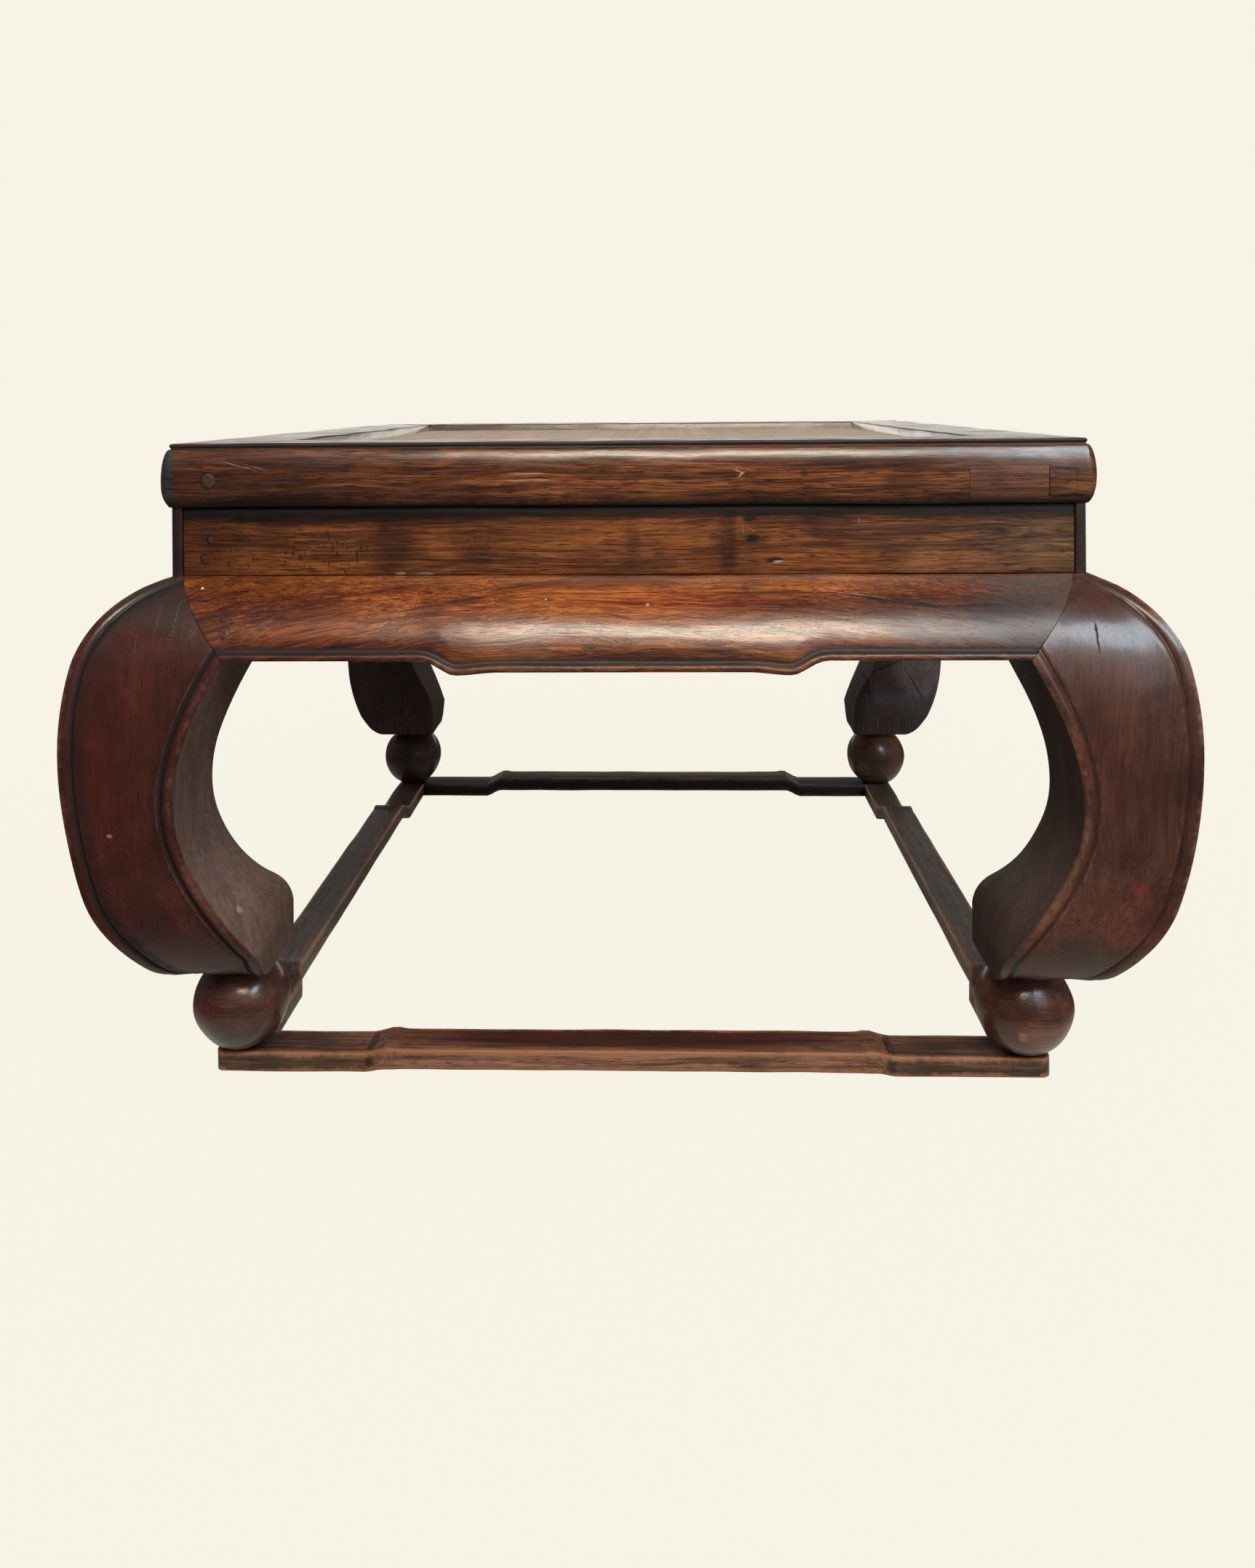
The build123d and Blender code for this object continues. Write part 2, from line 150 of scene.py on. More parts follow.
def make_grain_group():
    """Hardwood grain that runs along X: fibres and streaks, dark figure and fine open pores."""
    inputs = [("Along", "Vector"), ("Waver", "Float")]
    outputs = [(label, "Float") for label in ("Tone", "Figure", "Pores", "Ripple", "Height")]
    tree, given, result = open_group("hardwood_grain", inputs, outputs)
    drift = node(tree, "TexNoise", {"Vector": given["Along"], "Scale": 9.0, "Detail": 2.0}).outputs[1]
    bent = shaken(tree, given["Along"], drift, given["Waver"])
    fibres = speckle(tree, bent, (22.0, 1000.0, 1000.0), 2.0, 0.6)
    streaks = speckle(tree, bent, (9.0, 300.0, 300.0), 5.0, 0.72)
    bands = speckle(tree, bent, (3.5, 62.0, 62.0), 3.0, 0.5)
    coarse = sums(tree, "ADD", sums(tree, "MULTIPLY", streaks, 0.46), sums(tree, "MULTIPLY", bands, 0.22))
    tone = sums(tree, "ADD", coarse, sums(tree, "MULTIPLY", fibres, 0.32))
    rings = sums(tree, "ADD", sums(tree, "MULTIPLY", bands, 15.0), sums(tree, "MULTIPLY", streaks, 1.5))
    lines = ranged(tree, sums(tree, "PINGPONG", rings, 0.5), 0.0, 0.20, 1.0, 0.0)
    places = ranged(tree, speckle(tree, bent, (6.0, 30.0, 30.0), 2.0, 0.5), 0.42, 0.60)
    figure = sums(tree, "MULTIPLY", lines, places)
    dashes = speckle(tree, bent, (80.0, 1500.0, 1500.0), 1.0, 0.5)
    pores = ranged(tree, dashes, 0.565, 0.67)
    hollows = sums(tree, "ADD", sums(tree, "MULTIPLY", pores, 0.30), sums(tree, "MULTIPLY", figure, 0.15))
    tree.links.new(tone, result["Tone"])
    tree.links.new(figure, result["Figure"])
    tree.links.new(pores, result["Pores"])
    tree.links.new(speckle(tree, bent, (10.0, 105.0, 105.0), 2.0, 0.5), result["Ripple"])
    tree.links.new(sums(tree, "SUBTRACT", tone, hollows), result["Height"])
    return tree


def make_age_group():
    """What handling leaves on lacquer: mottling, rubbed edges, dirt in the hollows together with painted
    shade in creases and under mouldings, scratches.
    """
    inputs = [("Place", "Vector"), ("Rubbed", "Float"), ("Soiled_and_shaded", "Float")]
    outputs = [(label, "Float") for label in ("Mottle", "Rub", "Grime_and_shade", "Scratches", "Height")]
    tree, given, result = open_group("handled_lacquer_and_shade", inputs, outputs)
    mottle = speckle(tree, given["Place"], (26.0, 26.0, 26.0), 4.0, 0.6)
    fine = speckle(tree, given["Place"], (210.0, 210.0, 210.0), 3.0, 0.6)
    patchy = sums(tree, "ADD", sums(tree, "MULTIPLY", mottle, 0.9), sums(tree, "MULTIPLY", fine, 0.8))
    rub = ranged(tree, sums(tree, "ADD", sums(tree, "MULTIPLY", given["Rubbed"], 0.75), patchy), 1.22, 1.75)
    ragged = sums(tree, "MULTIPLY", sums(tree, "SUBTRACT", fine, 0.5), 0.5)
    edged = sums(tree, "ADD", given["Soiled_and_shaded"], ragged)
    grime_and_shade = ranged(tree, edged, 0.15, 0.85)
    slanted = node(tree, "Mapping", {"Vector": given["Place"], "Rotation": (0.4, 0.7, 0.9)}).outputs[0]
    thin = speckle(tree, slanted, (16.0, 900.0, 900.0), 2.0, 0.5)
    sparse = ranged(tree, speckle(tree, given["Place"], (34.0, 34.0, 34.0), 1.0, 0.5), 0.52, 0.68)
    scratches = sums(tree, "MULTIPLY", ranged(tree, thin, 0.70, 0.76), sparse)
    dents = sums(tree, "MULTIPLY", speckle(tree, given["Place"], (34.0, 34.0, 34.0), 1.0, 0.4), 1.5)
    tree.links.new(mottle, result["Mottle"])
    tree.links.new(rub, result["Rub"])
    tree.links.new(grime_and_shade, result["Grime_and_shade"])
    tree.links.new(scratches, result["Scratches"])
    tree.links.new(sums(tree, "SUBTRACT", dents, sums(tree, "MULTIPLY", scratches, 0.5)), result["Height"])
    return tree


def make_mark_group():
    """One of the wood's stains, knots or cracks, or a patch of painted shade, highlight or reflection: it
    tints the colour below it, or covers it.
    """
    inputs = [("Colour", "Color"), ("Place", "Vector"), ("Along", "Vector"), ("Centre", "Vector"),
              ("Reach", "Vector"), ("Slope", "Float"), ("Tone", "Color"), ("Amount", "Float"),
              ("Ragged", "Float"), ("Cover", "Float")]
    tree, given, result = open_group("mark_or_painted_light", inputs, [("Colour", "Color"), ("Mask", "Float")])
    finer = vectors(tree, "MULTIPLY", given["Along"], (30.0, 420.0, 420.0))
    fraying = {"Vector": finer, "Scale": 1.0, "Detail": 4.0, "Roughness": 0.65}
    frayed = node(tree, "TexNoise", fraying).outputs[1]
    moved = shaken(tree, given["Place"], frayed, given["Ragged"])
    away = vectors(tree, "SUBTRACT", moved, given["Centre"])
    parts = node(tree, "SeparateXYZ", {0: away}).outputs
    level = sums(tree, "SUBTRACT", parts[2], sums(tree, "MULTIPLY", parts[0], given["Slope"]))
    leant = node(tree, "CombineXYZ", {0: parts[0], 1: parts[1], 2: level}).outputs[0]
    distance = share_of_reach(tree, leant, given["Reach"])
    mask = sums(tree, "MULTIPLY", ranged(tree, distance, 1.2, 0.55), given["Amount"])
    tinted = mixed(tree, 1.0, given["Colour"], given["Tone"], "MULTIPLY")
    laid = mixed(tree, given["Cover"], tinted, given["Tone"])
    tree.links.new(mixed(tree, mask, given["Colour"], laid), result["Colour"])
    tree.links.new(mask, result["Mask"])
    return tree


def make_nick_group():
    """Many short cuts across the grain inside one patch, as saw teeth or insects leave them."""
    inputs = [("Colour", "Color"), ("Place", "Vector"), ("Centre", "Vector"), ("Reach", "Vector"),
              ("Fineness", "Vector"), ("Tone", "Color"), ("Amount", "Float")]
    tree, given, result = open_group("cuts_across_grain", inputs, [("Colour", "Color"), ("Mask", "Float")])
    away = vectors(tree, "SUBTRACT", given["Place"], given["Centre"])
    distance = share_of_reach(tree, away, given["Reach"])
    finer = vectors(tree, "MULTIPLY", given["Place"], given["Fineness"])
    cuts = node(tree, "TexNoise", {"Vector": finer, "Scale": 1.0, "Detail": 2.0}).outputs[0]
    patches = speckle(tree, given["Place"], (150.0, 150.0, 150.0), 2.0, 0.6)
    level = sums(tree, "ADD", cuts, sums(tree, "MULTIPLY", patches, 0.5))
    thin = ranged(tree, level, 0.83, 0.92)
    inside = sums(tree, "MULTIPLY", ranged(tree, distance, 1.1, 0.7), given["Amount"])
    mask = sums(tree, "MULTIPLY", thin, inside)
    tree.links.new(mixed(tree, mask, given["Colour"], given["Tone"]), result["Colour"])
    tree.links.new(mask, result["Mask"])
    return tree


def make_dust_group():
    """Dust and dull old wax on faces that hands don't reach, broken up by the grain under them."""
    inputs = [("Colour", "Color"), ("Dust", "Color"), ("Grain", "Float"), ("Amount", "Float")]
    tree, given, result = open_group("settled_dust", inputs, [("Colour", "Color")])
    thin, thick = 0.72, 1.30
    depth = ranged(tree, given["Grain"], 0.42, 0.58, thin, thick)
    dust = node(tree, "VectorMath", {0: given["Dust"], "Scale": depth}, operation="SCALE").outputs[0]
    laid = sums(tree, "MULTIPLY", given["Amount"], 0.80)
    tree.links.new(mixed(tree, laid, given["Colour"], dust), result["Colour"])
    return tree


grain_group = make_grain_group()
age_group = make_age_group()
dust_group = make_dust_group()
mark_group = make_mark_group()
nick_group = make_nick_group()
grain_turns = {"x": (0.0, 0.0, 0.0), "y": (0.0, 0.0, -math.pi / 2), "z": (0.0, math.pi / 2, 0.0)}
# Near-black that both dirt in the hollows and painted shade in creases and under mouldings darken towards.
soot_and_shade = (0.010, 0.008, 0.009)
crack = (0.006, 0.005, 0.006)


def stain_and_painted_light(x, z, across, up, tone, amount, ragged=0.008, slope=0.0, cover=0.0, y=-0.35, through=0.06):
    """One mark in metres from the middle of the floor: it tints what it lies on, or covers it. Most marks
    are the wood's own colour; some are painted shade, highlight, sheen or reflection.
    """
    return {"Centre": (x, y, z), "Reach": (across, through, up), "Tone": (*tone, 1.0),
            "Amount": amount, "Ragged": ragged, "Slope": slope, "Cover": cover}


def nicks(x, z, across, up, fineness, tone, amount, y=-0.33, through=0.05):
    """One patch of cuts, with so many of them in a metre along each axis."""
    return {"Centre": (x, y, z), "Reach": (across, through, up), "Fineness": fineness,
            "Tone": (*tone, 1.0), "Amount": amount}


def old_wood(name, grain, seed, deep, middle, light, worn, marks=(), waver=0.006, arch=0.0,
             rough=0.11, shine=0.4, wax=1.0, wax_rough=0.36, coarse=1.0, dust=(0.120, 0.078, 0.062)):
    """Lacquered hardwood with its own tones, grain direction, marks and sheen. Some marks are painted
    shade, highlight or reflection, and the darkened hollows carry painted shade as well as dirt.
    """
    material = bpy.data.materials.new(name)
    material.use_nodes = True
    tree = material.node_tree
    tree.nodes.clear()
    place = node(tree, "TexCoord").outputs["Object"]
    offset = (seed * 1.37, seed * 0.71, seed * 2.13)
    parts = node(tree, "SeparateXYZ", {0: place}).outputs
    bow = sums(tree, "MULTIPLY", sums(tree, "MULTIPLY", parts[0], parts[0]), arch)
    raised = sums(tree, "ADD", parts[2], bow)
    bowed = node(tree, "CombineXYZ", {0: parts[0], 1: parts[1], 2: raised}).outputs[0]
    turned = {"Vector": bowed, "Rotation": grain_turns[grain], "Location": offset}
    along = node(tree, "Mapping", turned).outputs[0]
    shifted = node(tree, "Mapping", {"Vector": place, "Location": offset}).outputs[0]
    rubbed, soiled_and_shaded, matt = [node(tree, "Attribute", attribute_name=layer).outputs["Fac"]
                            for layer in ("rubbed", "soiled_and_shaded", "matt")]
    wood = node(tree, "Group", {"Along": along, "Waver": waver}, node_tree=grain_group).outputs
    handled = {"Place": shifted, "Rubbed": rubbed, "Soiled_and_shaded": soiled_and_shaded}
    age = node(tree, "Group", handled, node_tree=age_group).outputs
    darkest = tuple(value * 0.45 for value in deep)
    patchy = ranged(tree, age["Mottle"], 0.25, 0.75, 0.42, 0.58)
    mottled = sums(tree, "MULTIPLY", patchy, 1.0 - coarse)
    level = sums(tree, "ADD", sums(tree, "MULTIPLY", wood["Tone"], coarse), mottled)
    ramp = node(tree, "ValToRGB", {"Fac": level})
    stops = ramp.color_ramp.elements
    stops[0].position, stops[0].color = 0.42, (*deep, 1.0)
    stops[1].position, stops[1].color = 0.585, (*light, 1.0)
    stops.new(0.495).color = (*middle, 1.0)
    shade = ranged(tree, age["Mottle"], 0.30, 0.60, 0.50, 0.0)
    colour = mixed(tree, shade, ramp.outputs[0], deep)
    figured = sums(tree, "MULTIPLY", wood["Figure"], 0.55 * coarse)
    colour = mixed(tree, figured, colour, darkest)
    settled = {"Colour": colour, "Dust": (*dust, 1.0), "Grain": wood["Tone"], "Amount": matt}
    colour = node(tree, "Group", settled, node_tree=dust_group).outputs["Colour"]
    cuts = 0.0
    for mark in marks:
        kind = nick_group if "Fineness" in mark else mark_group
        inputs = {"Colour": colour, "Place": place, **mark}
        if kind == mark_group:
            inputs["Along"] = along
        laid = node(tree, "Group", inputs, node_tree=kind).outputs
        colour = laid["Colour"]
        if mark["Tone"][:3] == crack:
            cuts = sums(tree, "MAXIMUM", cuts, laid["Mask"])
    # Pores, rubbed edges and scratches tint the colour in turn; last, dirt and painted shade in creases,
    # grooves and under mouldings darken it towards near-black.
    for mask, strength, over in ((wood["Pores"], 0.80 * coarse, darkest), (age["Rub"], 1.0, worn),
                                 (age["Scratches"], 0.12 / coarse, worn), (age["Grime_and_shade"], 0.88, soot_and_shade)):
        colour = mixed(tree, sums(tree, "MULTIPLY", mask, strength), colour, over)
    waves = sums(tree, "MULTIPLY", age["Height"], 0.8)
    for height, strength in ((wood["Ripple"], 0.55), (wood["Tone"], 0.12)):
        waves = sums(tree, "ADD", waves, sums(tree, "MULTIPLY", height, strength))
    film = node(tree, "Bump", {"Height": waves, "Distance": 0.001, "Strength": 0.7}).outputs[0]
    fibres = {"Height": wood["Height"], "Distance": 0.00010, "Strength": 0.7, "Normal": film}
    fibre = node(tree, "Bump", fibres).outputs[0]
    dull = sums(tree, "MAXIMUM", cuts, sums(tree, "MAXIMUM", age["Grime_and_shade"], matt))
    wax_left = 0.12
    roughness = ranged(tree, age["Mottle"], 0.30, 0.70, rough - 0.02, rough + 0.04)
    roughness = sums(tree, "ADD", roughness, sums(tree, "MULTIPLY", dull, 0.45))
    waxed = ranged(tree, dull, 0.0, 1.0, wax, wax * wax_left) if wax else 0.0
    surface = {"Base Color": colour, "Roughness": roughness, "Normal": fibre, "Coat Weight": waxed,
               "Specular IOR Level": shine, "Coat Roughness": wax_rough}
    shader = node(tree, "BsdfPrincipled", surface)
    tree.links.new(shader.outputs[0], node(tree, "OutputMaterial").inputs[0])
    return material


def only_verts(parts):
    """The vertices among the parts that an operator gives back."""
    return [part for part in parts if isinstance(part, bmesh.types.BMVert)]


def neighbours(line, closed):
    """Each point of a line with the next one."""
    return list(zip(line, line[1:] + line[:1])) if closed else list(zip(line, line[1:]))


def loft(rings, closed=True, rubbed=(), soiled_and_shaded=(), matt=()):
    """Draws the first ring and extrudes it from ring to ring."""
    bm = bmesh.new()
    layers = [bm.verts.layers.float.new(name) for name in ("rubbed", "soiled_and_shaded", "matt")]
    line = [bm.verts.new(point) for point in rings[0]]
    edges = [bm.edges.new(pair) for pair in neighbours(line, closed)]
    rows = [line]
    for ring in rings[1:]:
        made = bmesh.ops.extrude_edge_only(bm, edges=edges)["geom"]
        fresh = set(only_verts(made))
        following = []
        for vert, point in zip(line, ring):
            beside = [edge.other_vert(vert) for edge in vert.link_edges]
            twin = next(other for other in beside if other in fresh)
            twin.co = point
            following.append(twin)
        line = following
        edges = [bm.edges.get(pair) for pair in neighbours(line, closed)]
        rows.append(line)
    for layer, values in zip(layers, (rubbed, soiled_and_shaded, matt)):
        for row in rows:
            for vert, value in zip(row, values):
                vert[layer] = value
    if closed:
        close_holes(bm)
    return bm


def close_holes(bm):
    """Fills every open loop of edges."""
    open_edges = [edge for edge in bm.edges if edge.is_boundary]
    if open_edges:
        bmesh.ops.holes_fill(bm, edges=open_edges)


def trim(bm, point, outward):
    """Saws off what lies beyond a plane and closes the cut."""
    everything = bm.verts[:] + bm.edges[:] + bm.faces[:]
    bmesh.ops.bisect_plane(bm, geom=everything, dist=1e-7, plane_co=point, plane_no=outward,
                           clear_outer=True)
    close_holes(bm)


def hand_worked(bm, seed, depth, span):
    """Leaves the long shallow waves of planes and scrapers in every face but the underside."""
    bm.normal_update()
    shift = Vector((seed * 7.3, seed * 3.1, seed * 5.7))
    for vert in bm.verts:
        if vert.normal.z < -0.9:
            continue
        place = Vector(a / b for a, b in zip(vert.co, span))
        vert.co += vert.normal * (depth * (noise.noise(place + shift) - 0.35))


def cut_with(bm, tool, operation):
    """Cuts one solid with another, or keeps what they share."""
    meshes = []
    things = []
    for source in (bm, tool):
        mesh = bpy.data.meshes.new("bench")
        source.to_mesh(mesh)
        thing = bpy.data.objects.new("bench", mesh)
        bpy.context.scene.collection.objects.link(thing)
        meshes.append(mesh)
        things.append(thing)
    boolean = things[0].modifiers.new("saw", "BOOLEAN")
    boolean.object = things[1]
    boolean.operation = operation
    boolean.solver = "EXACT"
    shaped = things[0].evaluated_get(bpy.context.evaluated_depsgraph_get()).to_mesh()
    result = bmesh.new()
    result.from_mesh(shaped)
    for thing, mesh in zip(things, meshes):
        bpy.data.objects.remove(thing)
        bpy.data.meshes.remove(mesh)
    return result


def block(low, high):
    """A box between two corners."""
    bm = bmesh.new()
    size = [b - a for a, b in zip(low, high)]
    centre = [(a + b) / 2 for a, b in zip(low, high)]
    place = Matrix.Translation(centre) @ Matrix.Diagonal((*size, 1.0))
    bmesh.ops.create_cube(bm, size=1.0, matrix=place)
    return bm


def joined(first, second):
    """Adds the second solid to the first piece."""
    mesh = bpy.data.meshes.new("bench")
    second.to_mesh(mesh)
    first.from_mesh(mesh)
    bpy.data.meshes.remove(mesh)
    return first


def set_on_side(bm, side, half_x, half_y):
    """Moves what was made facing -Y, with its face at y = 0, to one side of the table."""
    turns = {"front": 0.0, "right": 90.0, "back": 180.0, "left": 270.0}
    moves = {"front": (0, -half_y, 0), "right": (half_x, 0, 0),
             "back": (0, half_y, 0), "left": (-half_x, 0, 0)}
    place = Matrix.Translation(moves[side]) @ Matrix.Rotation(math.radians(turns[side]), 4, "Z")
    bmesh.ops.transform(bm, matrix=place, verts=bm.verts)


def four_sides(width, depth):
    """Number, name, length and grain direction of the four like pieces of a frame."""
    return [(0, "front", width, "x"), (1, "back", width, "x"),
            (2, "left", depth, "y"), (3, "right", depth, "y")]


def set_down(name, bm, finishes, slot_name, *nodes):
    """Turns a finished mesh into a piece that stands for its CAD nodes."""
    bmesh.ops.recalc_face_normals(bm, faces=bm.faces)
    lowest, highest = cad_box
    for vert in bm.verts:
        vert.co = Vector(max(low, min(high, at)) for low, at, high in zip(lowest, vert.co, highest))
    for face in bm.faces:
        face.smooth = True
    for edge in bm.edges:
        edge.smooth = edge.calc_face_angle(0.0) < crease
    mesh = bpy.data.meshes.new(name)
    bm.to_mesh(mesh)
    bm.free()
    thing = bpy.data.objects.new(name, mesh)
    bpy.context.scene.collection.objects.link(thing)
    for finish in finishes:
        mesh.materials.append(finish)
    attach(thing, "root")
    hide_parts(*nodes)
    return thing


def with_tenon(rail, tenon):
    """Adds a through tenon, whose end takes the finish of the rail that it shows in."""
    for face in tenon.faces:
        face.material_index = 1
    return joined(rail, tenon)


def spaced(low, high, step):
    """Even places from one number to another, about a step apart."""
    count = max(1, round((high - low) / step))
    return [low + (high - low) * index / count for index in range(count + 1)]


def soft_block_section(low, high, radius, step):
    """Rectangle with rounded corners, and points along its sides."""
    def rounding(x, z):
        return complex(x - math.copysign(radius, x - (low[0] + high[0]) / 2),
                       z - math.copysign(radius, z - (low[1] + high[1]) / 2))

    points, worn = [], []
    rounds = [(rounding(high[0], low[1]), -90), (rounding(high[0], high[1]), 0),
              (rounding(low[0], high[1]), 90), (rounding(low[0], low[1]), 180)]
    for (centre, start), (ahead, following) in zip(rounds, rounds[1:] + rounds[:1]):
        for turn in (0, 30, 60, 90):
            points.append(centre + cmath.rect(radius, math.radians(start + turn)))
            worn.append(1.0)
        goal = ahead + cmath.rect(radius, math.radians(following))
        start_point = points[-1]
        count = max(1, round(abs(goal - start_point) / step))
        for part in range(1, count):
            points.append(start_point + (goal - start_point) * part / count)
            worn.append(0.0)
    return points, worn


def shoulder_share(x, length):
    """How much of its rise a rail has at a distance from its middle, with a crest at the top."""
    start = length / 2 - shoulder_start
    part = (start - abs(x)) / shoulder_run
    share = max(0.0, min(1.0, part))
    share = share * share * (3 - 2 * share)
    crest = math.exp(-(((part - 1.15) / 0.28) ** 2))
    return share, crest


def base_rail(length, seed):
    """One rail along X, facing -Y, with its raised middle and its corners rounded in plan."""
    across = (base_rail_width, base_rail_thickness)
    points, worn = soft_block_section((0.0, 0.0), across, base_edge_radius, 0.0045)
    ends = [length / 2 - step for step in (0.0, 0.0004, 0.0012, 0.0025, 0.004, 0.006, 0.008, 0.012)]
    straight = length / 2 - 0.016
    places = sorted(spaced(-straight, straight, 0.005) + ends + [-x for x in ends])
    rings = []
    for x in places:
        share, crest = shoulder_share(x, length)
        back = min(base_corner_radius, length / 2 - abs(x))
        left = base_corner_radius - back
        round_in = base_corner_radius - math.sqrt(base_corner_radius ** 2 - left ** 2)
        ring = []
        for point in points:
            top = point.imag > base_rail_thickness / 2
            outer = point.real < base_rail_width / 2
            rise = shoulder_rise * share + (shoulder_crest * crest if top else 0.0)
            out = shoulder_rise * share + (shoulder_crest * crest * 0.7 if outer else 0.0)
            ring.append(Vector((x, max(point.real, round_in) - out, point.imag + rise)))
        rings.append(ring)
    dusty = [0.20 if point.imag > base_rail_thickness - 0.0002 else 0.0 for point in points]
    bm = loft(rings, rubbed=worn, soiled_and_shaded=dusty)
    hand_worked(bm, seed, 0.0005, (0.045, 0.020, 0.020))
    return bm


def base_tenon_box(length, end, spare):
    inner = length / 2 - base_tenon_inset
    low, high = sorted((end * inner, end * (inner - base_tenon_width)))
    bottom = base_tenon_low - spare
    top = base_tenon_low + base_tenon_thickness + spare
    return block((low - spare, -0.002, bottom), (high + spare, 0.009, top))


base_tones = {
    "front": ((0.060, 0.022, 0.012), (0.170, 0.068, 0.038), (0.275, 0.130, 0.080)),
    "back": ((0.040, 0.024, 0.016), (0.080, 0.048, 0.032), (0.124, 0.078, 0.054)),
    "left": ((0.045, 0.030, 0.023), (0.080, 0.055, 0.042), (0.118, 0.084, 0.066)),
    "right": ((0.056, 0.042, 0.032), (0.090, 0.069, 0.053), (0.126, 0.100, 0.079)),
}
shoulder_x = base_width / 2 - shoulder_start - shoulder_run / 2
base_face = -base_depth / 2 - shoulder_rise
saw_cuts = (1500.0, 60.0, 60.0)
base_front_marks = []
for end in (-1, 1):
    base_front_marks += [
        stain_and_painted_light(end * 0.250, 0.010, 0.072, 0.03, (0.42, 0.50, 0.56), 0.85, y=base_face),
        nicks(end * (shoulder_x + 0.002), 0.015, 0.018, 0.03, saw_cuts, (0.010, 0.007, 0.006), 0.7),
        stain_and_painted_light(end * (shoulder_x + 0.004), 0.010, 0.0035, 0.03, (0.30, 0.28, 0.28), 0.85, 0.003,
              y=base_face),
    ]
base_front_marks += [
    stain_and_painted_light(0.0, 0.0200, 0.178, 0.0300, (0.29, 0.088, 0.036), 1.00, 0.003, y=-0.2965, through=0.0155),
    stain_and_painted_light(0.0, 0.0182, 0.170, 0.0030, (0.36, 0.135, 0.050), 0.80, 0.004, 0.0, 1.0, base_face, 0.0022),
    stain_and_painted_light(0.0, 0.0080, 0.172, 0.0120, (1.50, 1.60, 1.75), 0.85, 0.006, y=base_face - 0.004, through=0.0075),
]
# A near-black cover on the inside of the back rail, under the table: painted shade.
base_back_painted_shade = [stain_and_painted_light(0.0, 0.010, 3.0, 0.05, (0.006, 0.005, 0.005), 1.0, 0.003, 0.0, 1.0, 0.278, 0.026)]
base_marks = {"front": base_front_marks, "back": base_back_painted_shade}
# The back rail's rubbed edges take a darker colour: painted shade.
base_worn_in_shade = {"back": (0.110, 0.055, 0.034)}
base_finishes = []
for number, side, length, grain in four_sides(base_width, base_depth):
    rail = base_rail(length, 3 + number)
    lengthways = grain == "x"
    for end in (-1, 1):
        corner = Vector((end * length / 2, 0, 0))
        if lengthways:
            rail = cut_with(rail, base_tenon_box(length, end, seam), "DIFFERENCE")
        trim(rail, corner, Vector((end, 1, 0)).normalized())
    set_on_side(rail, side, base_width / 2, base_depth / 2)
    if not lengthways:
        for neighbour in ("front", "back"):
            end = -1 if (side == "left") == (neighbour == "front") else 1
            tenon = cut_with(base_rail(base_width, 3 if neighbour == "front" else 4),
                             base_tenon_box(base_width, end, 0.0), "INTERSECT")
            set_on_side(tenon, neighbour, base_width / 2, base_depth / 2)
            rail = with_tenon(rail, tenon)
    finish = old_wood("lacquer_base_" + side, grain, 2 + number, *base_tones[side],
                      base_worn_in_shade.get(side, (0.30, 0.120, 0.052)), base_marks.get(side, ()),
                      rough=0.58 if lengthways else 0.46, shine=0.5, wax=0.06 if lengthways else 0.3,
                      wax_rough=0.11)
    base_finishes.append(finish)
    finishes = [finish] if lengthways else [finish, base_finishes[0]]
    set_down("base_rail_" + side + "_worn", rail, finishes, "hardwood_dark", "base_rail_" + side)


# ==== Ball feet ===============================================================
# Four solid balls turned from the same wood, each with a dowel up into the
# foot of its leg and one down into the base frame.  The lathe marks have been
# rubbed away, and small dents and flats are left.

ball_radius = 0.0335
ball_inset = 0.033
ball_bottom = base_rail_thickness
ball_height = 0.0628
dowel_radius = 0.008
dowel_up = 0.012
dowel_down = 0.0045
top_width = 0.616
top_depth = 0.656


def ball(seed):
    """One ball on the table's middle line, cut flat below and above, with its two dowels."""
    bm = bmesh.new()
    layers = (bm.verts.layers.float.new("rubbed"), bm.verts.layers.float.new("soiled_and_shaded"))
    centre = Vector((0, 0, ball_bottom + ball_height / 2))
    place = Matrix.Translation(centre)
    bmesh.ops.create_uvsphere(bm, u_segments=72, v_segments=44, radius=ball_radius, matrix=place)
    hand_worked(bm, seed, 0.0011, (0.022, 0.022, 0.022))
    for vert in bm.verts:
        height = (vert.co.z - ball_bottom) / ball_height
        vert[layers[1]] = 0.75 * max(0.0, (abs(height - 0.5) - 0.33) / 0.17)
        vert[layers[0]] = 0.35 if height < 0.45 else 0.0
    ends = ((ball_bottom, -1, dowel_down), (ball_bottom + ball_height, 1, dowel_up))
    for level, outward, reach in ends:
        trim(bm, (0, 0, level), (0, 0, outward))
        flat = max(bm.faces, key=lambda face: face.calc_center_median().z * outward)
        width = math.sqrt(flat.calc_area() / math.pi)
        bmesh.ops.inset_individual(bm, faces=[flat], thickness=width - dowel_radius)
        out = bmesh.ops.extrude_face_region(bm, geom=[flat])["geom"]
        bmesh.ops.translate(bm, verts=only_verts(out), vec=(0, 0, outward * reach))
        bmesh.ops.delete(bm, geom=[flat], context="FACES_ONLY")
    return bm


